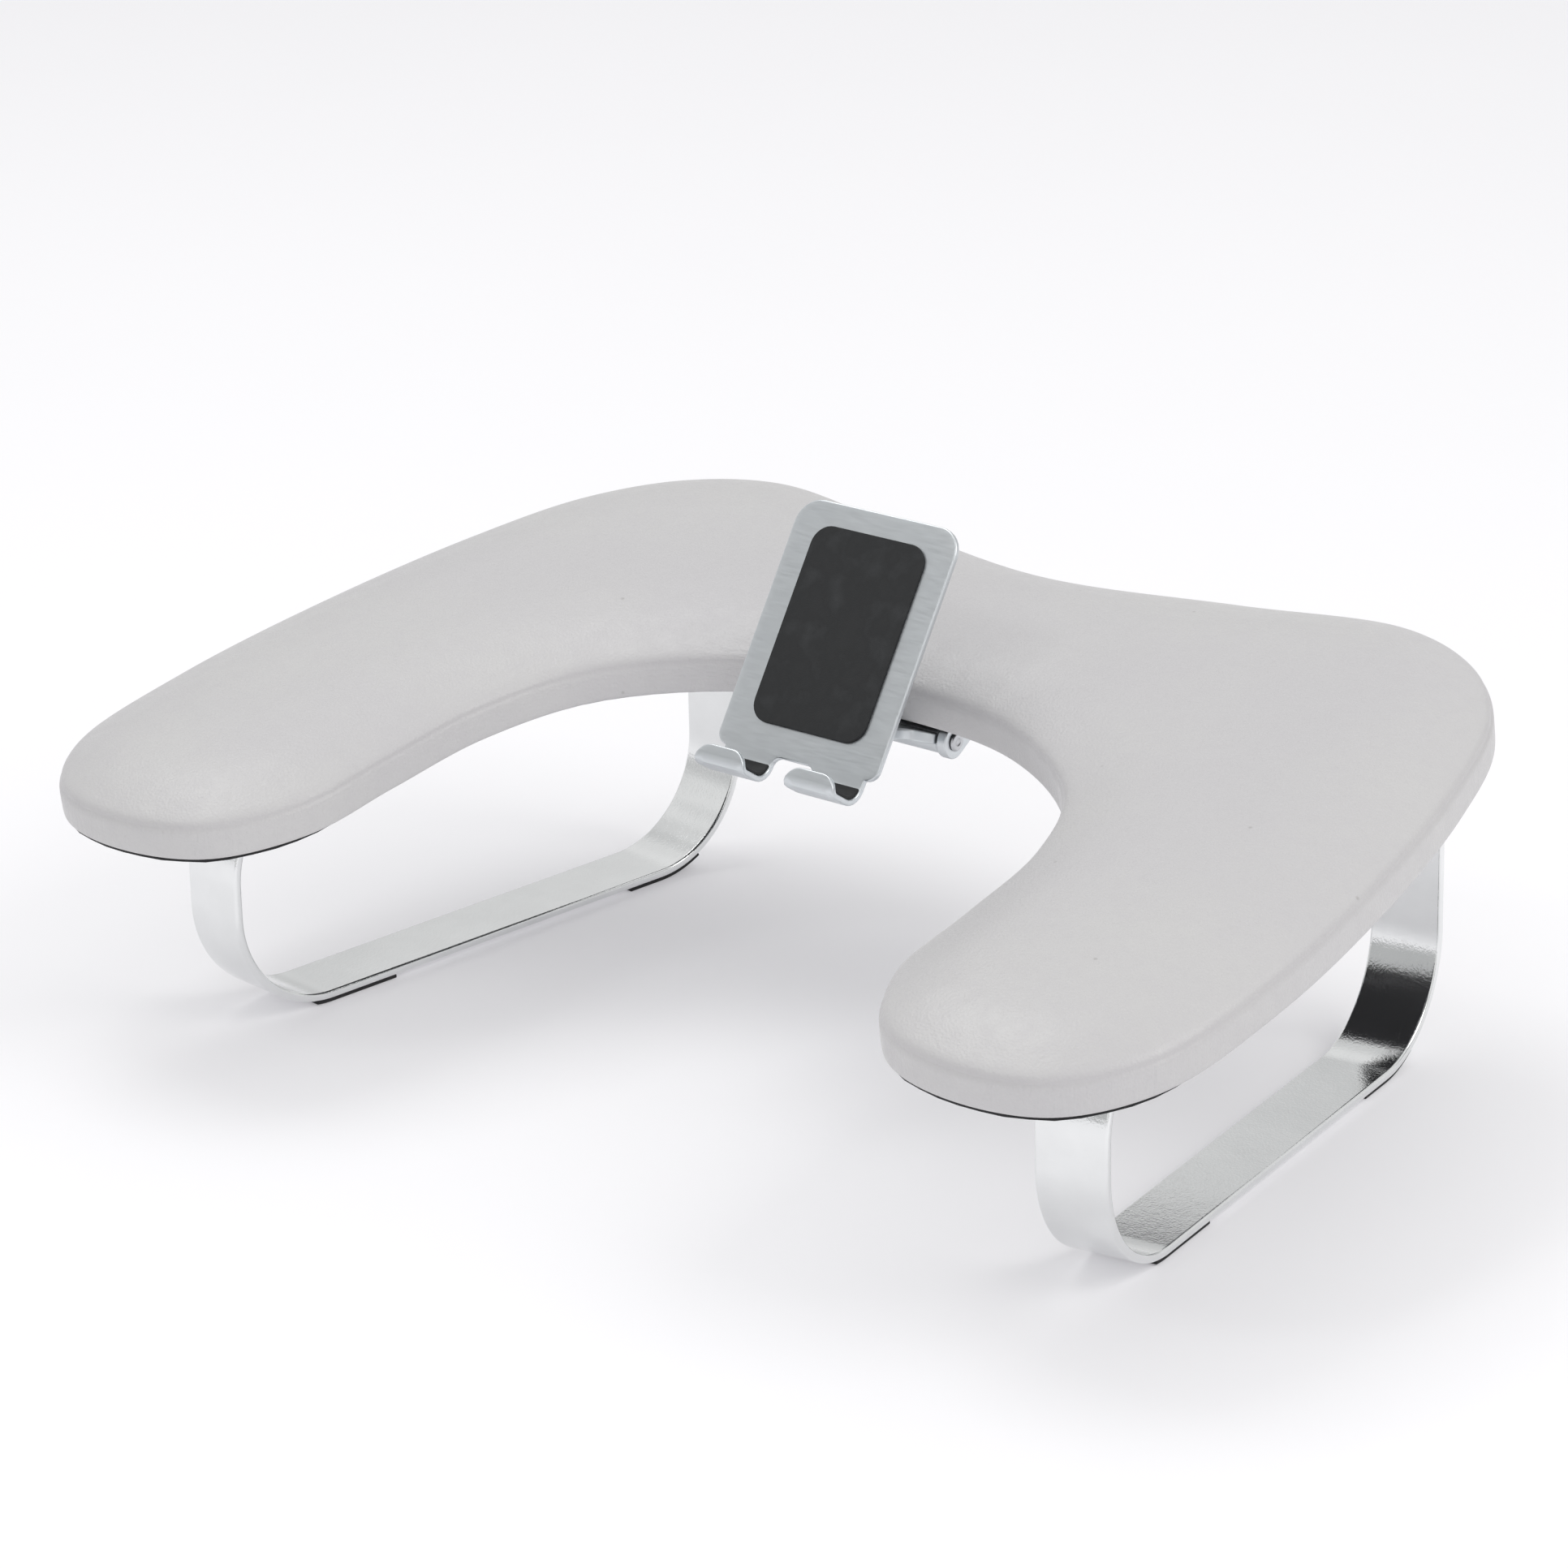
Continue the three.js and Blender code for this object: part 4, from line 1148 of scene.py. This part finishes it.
def bent_sheet(name, blank, path, thickness, edge_radius, spacing=1.6):
    """A flat blank with round edges, bent along a path; x stays, and y is the distance along it."""
    loop = []
    for (x0, y0), (x1, y1) in zip(blank, blank[1:] + blank[:1]):
        parts = max(1, math.ceil(math.hypot(x1 - x0, y1 - y0) / spacing))
        loop += [(x0 + (x1 - x0) * k / parts, y0 + (y1 - y0) * k / parts) for k in range(parts)]
    loop = np.array(loop)
    count = len(loop)
    outward = outward_normals(loop)
    flat_height = thickness / 2 - edge_radius
    profile = []
    for side, angles in ((1, (90, 60, 30, 0)), (-1, (0, 30, 60, 90))):
        for angle in map(math.radians, angles):
            height = side * (flat_height + edge_radius * math.sin(angle))
            profile.append((edge_radius * (1 - math.cos(angle)), height))
    spots, faces = [], []
    for inset, height in profile:
        spots += [(x, y, height) for x, y in loop - outward * inset]
    for band in range(len(profile) - 1):
        faces += ring_band(band * count, (band + 1) * count, count)
    places, fill = fill_region(loop - outward * profile[0][0], spacing, spacing * 0.55)
    for height, ring in ((thickness / 2, 0), (-thickness / 2, len(profile) - 1)):
        start = len(spots)
        spots += [(x, y, height) for x, y in places[count:]]
        for face in fill:
            faces.append(tuple(ring * count + k if k < count else start + k - count for k in face))
    lengths = path_lengths(path)
    vertices = []
    for x, distance, height in spots:
        spot = along_path(path, lengths, min(max(distance, 0), lengths[-1]), height)
        vertices.append((x, spot.x, spot.y))
    return turn_outwards(mesh_object(name, vertices, faces))


def add_cradle():
    path = hook_path()
    piece = bent_sheet("cradle_sheet", flat_cradle(path_lengths(path)[-1]), path, CRADLE_SHEET, 0.5)
    ear_inner, ear_thickness, ear_radius, ear_edge = 12.9, 3, 5.5, 0.45
    ear_root, ear_half_root = CRADLE_BACK - 0.6, 9
    for side in SIDES.values():
        outline = arc(0, 0, ear_radius, -90, 90, 24)
        outline += [(ear_root, ear_half_root), (ear_root, -ear_half_root)]
        ear = side_plate("ear", outline, ear_thickness, ear_edge)
        ear.data.transform(move(side * (ear_inner + ear_thickness / 2), 0, 0))
        join(piece, ear)
    drill_along_x(piece, 0)
    shade(piece, 35)
    settle(piece, CRADLE_FRAME, "cradle", "holder_aluminium", ALUMINIUM, "cradle_plate")
    add_liners(path)
    pad_thickness = 1
    pad = extruded("face_pad", rounded_rectangle(23, -4, 64, 7), pad_thickness, 0.3)
    pad_place = move(0, CRADLE_BACK - CRADLE_SHEET - pad_thickness / 2, 0)
    pad.data.transform(pad_place @ Matrix.Rotation(math.pi / 2, 4, "X"))
    shade(pad)
    settle(pad, CRADLE_FRAME, "cradle", "holder_silicone", SILICONE, "cradle_face_pad")


def add_liners(path):
    """Silicone linings on the inner side of the hooks."""
    offset = CRADLE_SHEET / 2 + 0.52
    inner = [point - normal * offset for point, normal in path_frames(path)][1:]
    inner_total = path_lengths(inner)[-1]
    half = (HOOK_WIDTH - 1.5) / 2
    lip, corner = 1.0, 5.4
    for side_name, side in SIDES.items():
        blank = mirrored(arc(half - corner, inner_total - lip - corner, corner, 0, 90))
        blank += [(-half, 0.2), (half, 0.2)]
        piece = bent_sheet(f"hook_lining_{side_name}", blank, inner, 1, 0.3, 1.2)
        piece.data.transform(move(side * HOOK_PITCH / 2, 0, 0))
        shade(piece)
        settle(piece, CRADLE_FRAME, "cradle", "holder_silicone", SILICONE, f"hook_liner_{side_name}")


def add_pivot(level, place, body, ear_outer, nut_height):
    """A hinge's bolt with its nut on the left ear; ear_outer is half the width over the ears."""
    nut_gap, head_gap = 0.3, 0.3
    tip = ear_outer + nut_gap + nut_height + 1.6
    pin = hinge_pin(f"{level}_hinge_pin", tip + ear_outer + head_gap)
    settle(pin, place @ move(-tip, 0, 0), body, "pivot_steel", PIVOT_STEEL,
           f"{level}_pivot_bolt")
    ring = nut(f"{level}_hinge_nut", 7, nut_height)
    middle = ear_outer + nut_gap + nut_height / 2
    settle(ring, place @ move(-middle, 0, 0), body, "pivot_steel", PIVOT_STEEL,
           f"{level}_pivot_nut")


def add_washers(level, place, body, half):
    """The two washers beside a knuckle that is twice half wide."""
    for side_name, side in SIDES.items():
        start = half + WASHER_GAP if side > 0 else -half - WASHER_GAP - WASHER_THICKNESS
        ring = washer(f"{level}_hinge_washer_{side_name}")
        settle(ring, place @ move(start, 0, 0), body, "washer_plastic", NYLON,
               f"{level}_washer_{side_name}")


def add_pivots():
    add_pivot("lower", HOLDER_FRAME, "rest", BRACKET_HALF_WIDTH, 4)
    add_pivot("upper", CRADLE_FRAME, "cradle", 15.9, 3.5)
    add_washers("lower", ARM_FRAME, "arm", 15.6)
    add_washers("upper", CRADLE_FRAME, "cradle", 12)


# ---- carried-over CAD nodes ----

def dress_cad_nodes():
    finishes = {"foam_pad": foam_material(), "base_board": plywood_material()}
    for name in NODES:
        if name.startswith("leg_insert"):
            finishes[name] = BRASS
    for name, finish in finishes.items():
        NODES[name].data.materials.clear()
        NODES[name].data.materials.append(finish)


# ---- stage, light and camera ----

FLOOR = -0.0002
FLOOR_REACH = 40


def add_floor():
    corners = [(x * FLOOR_REACH, y * FLOOR_REACH, FLOOR) for x, y in ((-1, -1), (1, -1), (1, 1), (-1, 1))]
    floor = mesh_object("floor", corners, [(0, 1, 2, 3)])
    paper = Nodes("floor_paper", (0.67, 0.67, 0.675), 0.7)
    paper.color(paper.mix(paper.noise(3), (0.66, 0.66, 0.665), (0.68, 0.68, 0.685)))
    paper.bump(paper.noise(900), 0.00003, 0.2)
    paper.set(paper.shader, "Emission Color", (0.97, 0.955, 1.0, 1))
    paper.set(paper.shader, "Emission Strength", 0.3)
    floor.data.materials.append(paper.material)


def add_light(name, place, target, size, power, color):
    data = bpy.data.lights.new(name, "AREA")
    data.shape = "RECTANGLE"
    data.size, data.size_y = size
    data.energy = power
    data.color = color
    lamp = add_object(name, data)
    aim = (Vector(target) - Vector(place)).to_track_quat("-Z", "Y")
    lamp.matrix_world = Matrix.Translation(place) @ aim.to_matrix().to_4x4()
    return lamp


def add_world():
    """A pale studio with one dark opening in front of the object, above it and to the left."""
    world = bpy.data.worlds.new("studio")
    bpy.context.scene.world = world
    studio = Tree(world, "BACKGROUND", "Generated")
    towards = studio.add("ShaderNodeVectorMath", operation="DOT_PRODUCT")
    studio.link(studio.place, towards.inputs[0])
    towards.inputs[1].default_value = Vector((-0.40, -0.76, 0.62)).normalized()
    outer, inner = (math.cos(math.radians(angle)) for angle in (18, 12))
    opening = studio.spread(towards.outputs["Value"], 0, 1, outer, inner)
    cloud = studio.spread(studio.noise(2.2, detail=1, roughness=0.5), 0, 1, 0.38, 0.58)
    walls = studio.mix(cloud, (0.6, 0.605, 0.61), (1.0, 1.0, 1.0))
    studio.link(studio.mix(opening, walls, (0.02, 0.02, 0.02)), studio.shader.inputs["Color"])
    studio.set(studio.shader, "Strength", 0.86)


def add_camera():
    azimuth, elevation, roll = (math.radians(angle) for angle in (39.48, 20.89, -1.30))
    target = Vector((-0.0828, 0.08468, 0.050))
    distance = 2.0713
    focal_pixels, image_width, sensor = 7400, 1932, 36
    back = Vector((math.sin(azimuth) * math.cos(elevation), -math.cos(azimuth) * math.cos(elevation),
                   math.sin(elevation)))
    right = Vector((math.cos(azimuth), math.sin(azimuth), 0))
    up = back.cross(right)
    rolled_right = right * math.cos(roll) + up * math.sin(roll)
    rolled_up = up * math.cos(roll) - right * math.sin(roll)
    data = bpy.data.cameras.new("camera")
    data.sensor_width = sensor
    data.lens = focal_pixels * sensor / image_width
    data.clip_end = 50
    camera = add_object("camera", data)
    turn = Matrix((rolled_right, rolled_up, back)).transposed().to_4x4()
    camera.matrix_world = Matrix.Translation(target + back * distance) @ turn
    bpy.context.scene.camera = camera


add_cushion()
add_underside_cloth()
add_staples()
for side_name, side in SIDES.items():
    add_leg(side_name, side)
    add_feet(side_name, side)
add_screws()
add_bracket()
add_arm()
add_cradle()
add_pivots()
dress_cad_nodes()
add_floor()
add_world()
add_light("key", (1.3, 0.3, 1.3), (0, 0, 0.1), (1.0, 1.0), 9, (1, 0.985, 0.97))
add_light("top", (-0.8, 0.1, 1.7), (0, 0, 0.1), (0.9, 0.9), 7, (1, 1, 1))
add_light("glint", (-0.45, -1.15, 1.5), (0, -0.1, 0.1), (0.3, 0.3), 2.2, (1, 1, 1))
fill = add_light("fill", (0.7, -1.4, 0.35), (0, 0, 0.1), (1.2, 0.5), 2.4, (0.95, 0.92, 1))
fill.visible_glossy = False
add_camera()
bpy.context.scene.view_settings.view_transform = "Standard"
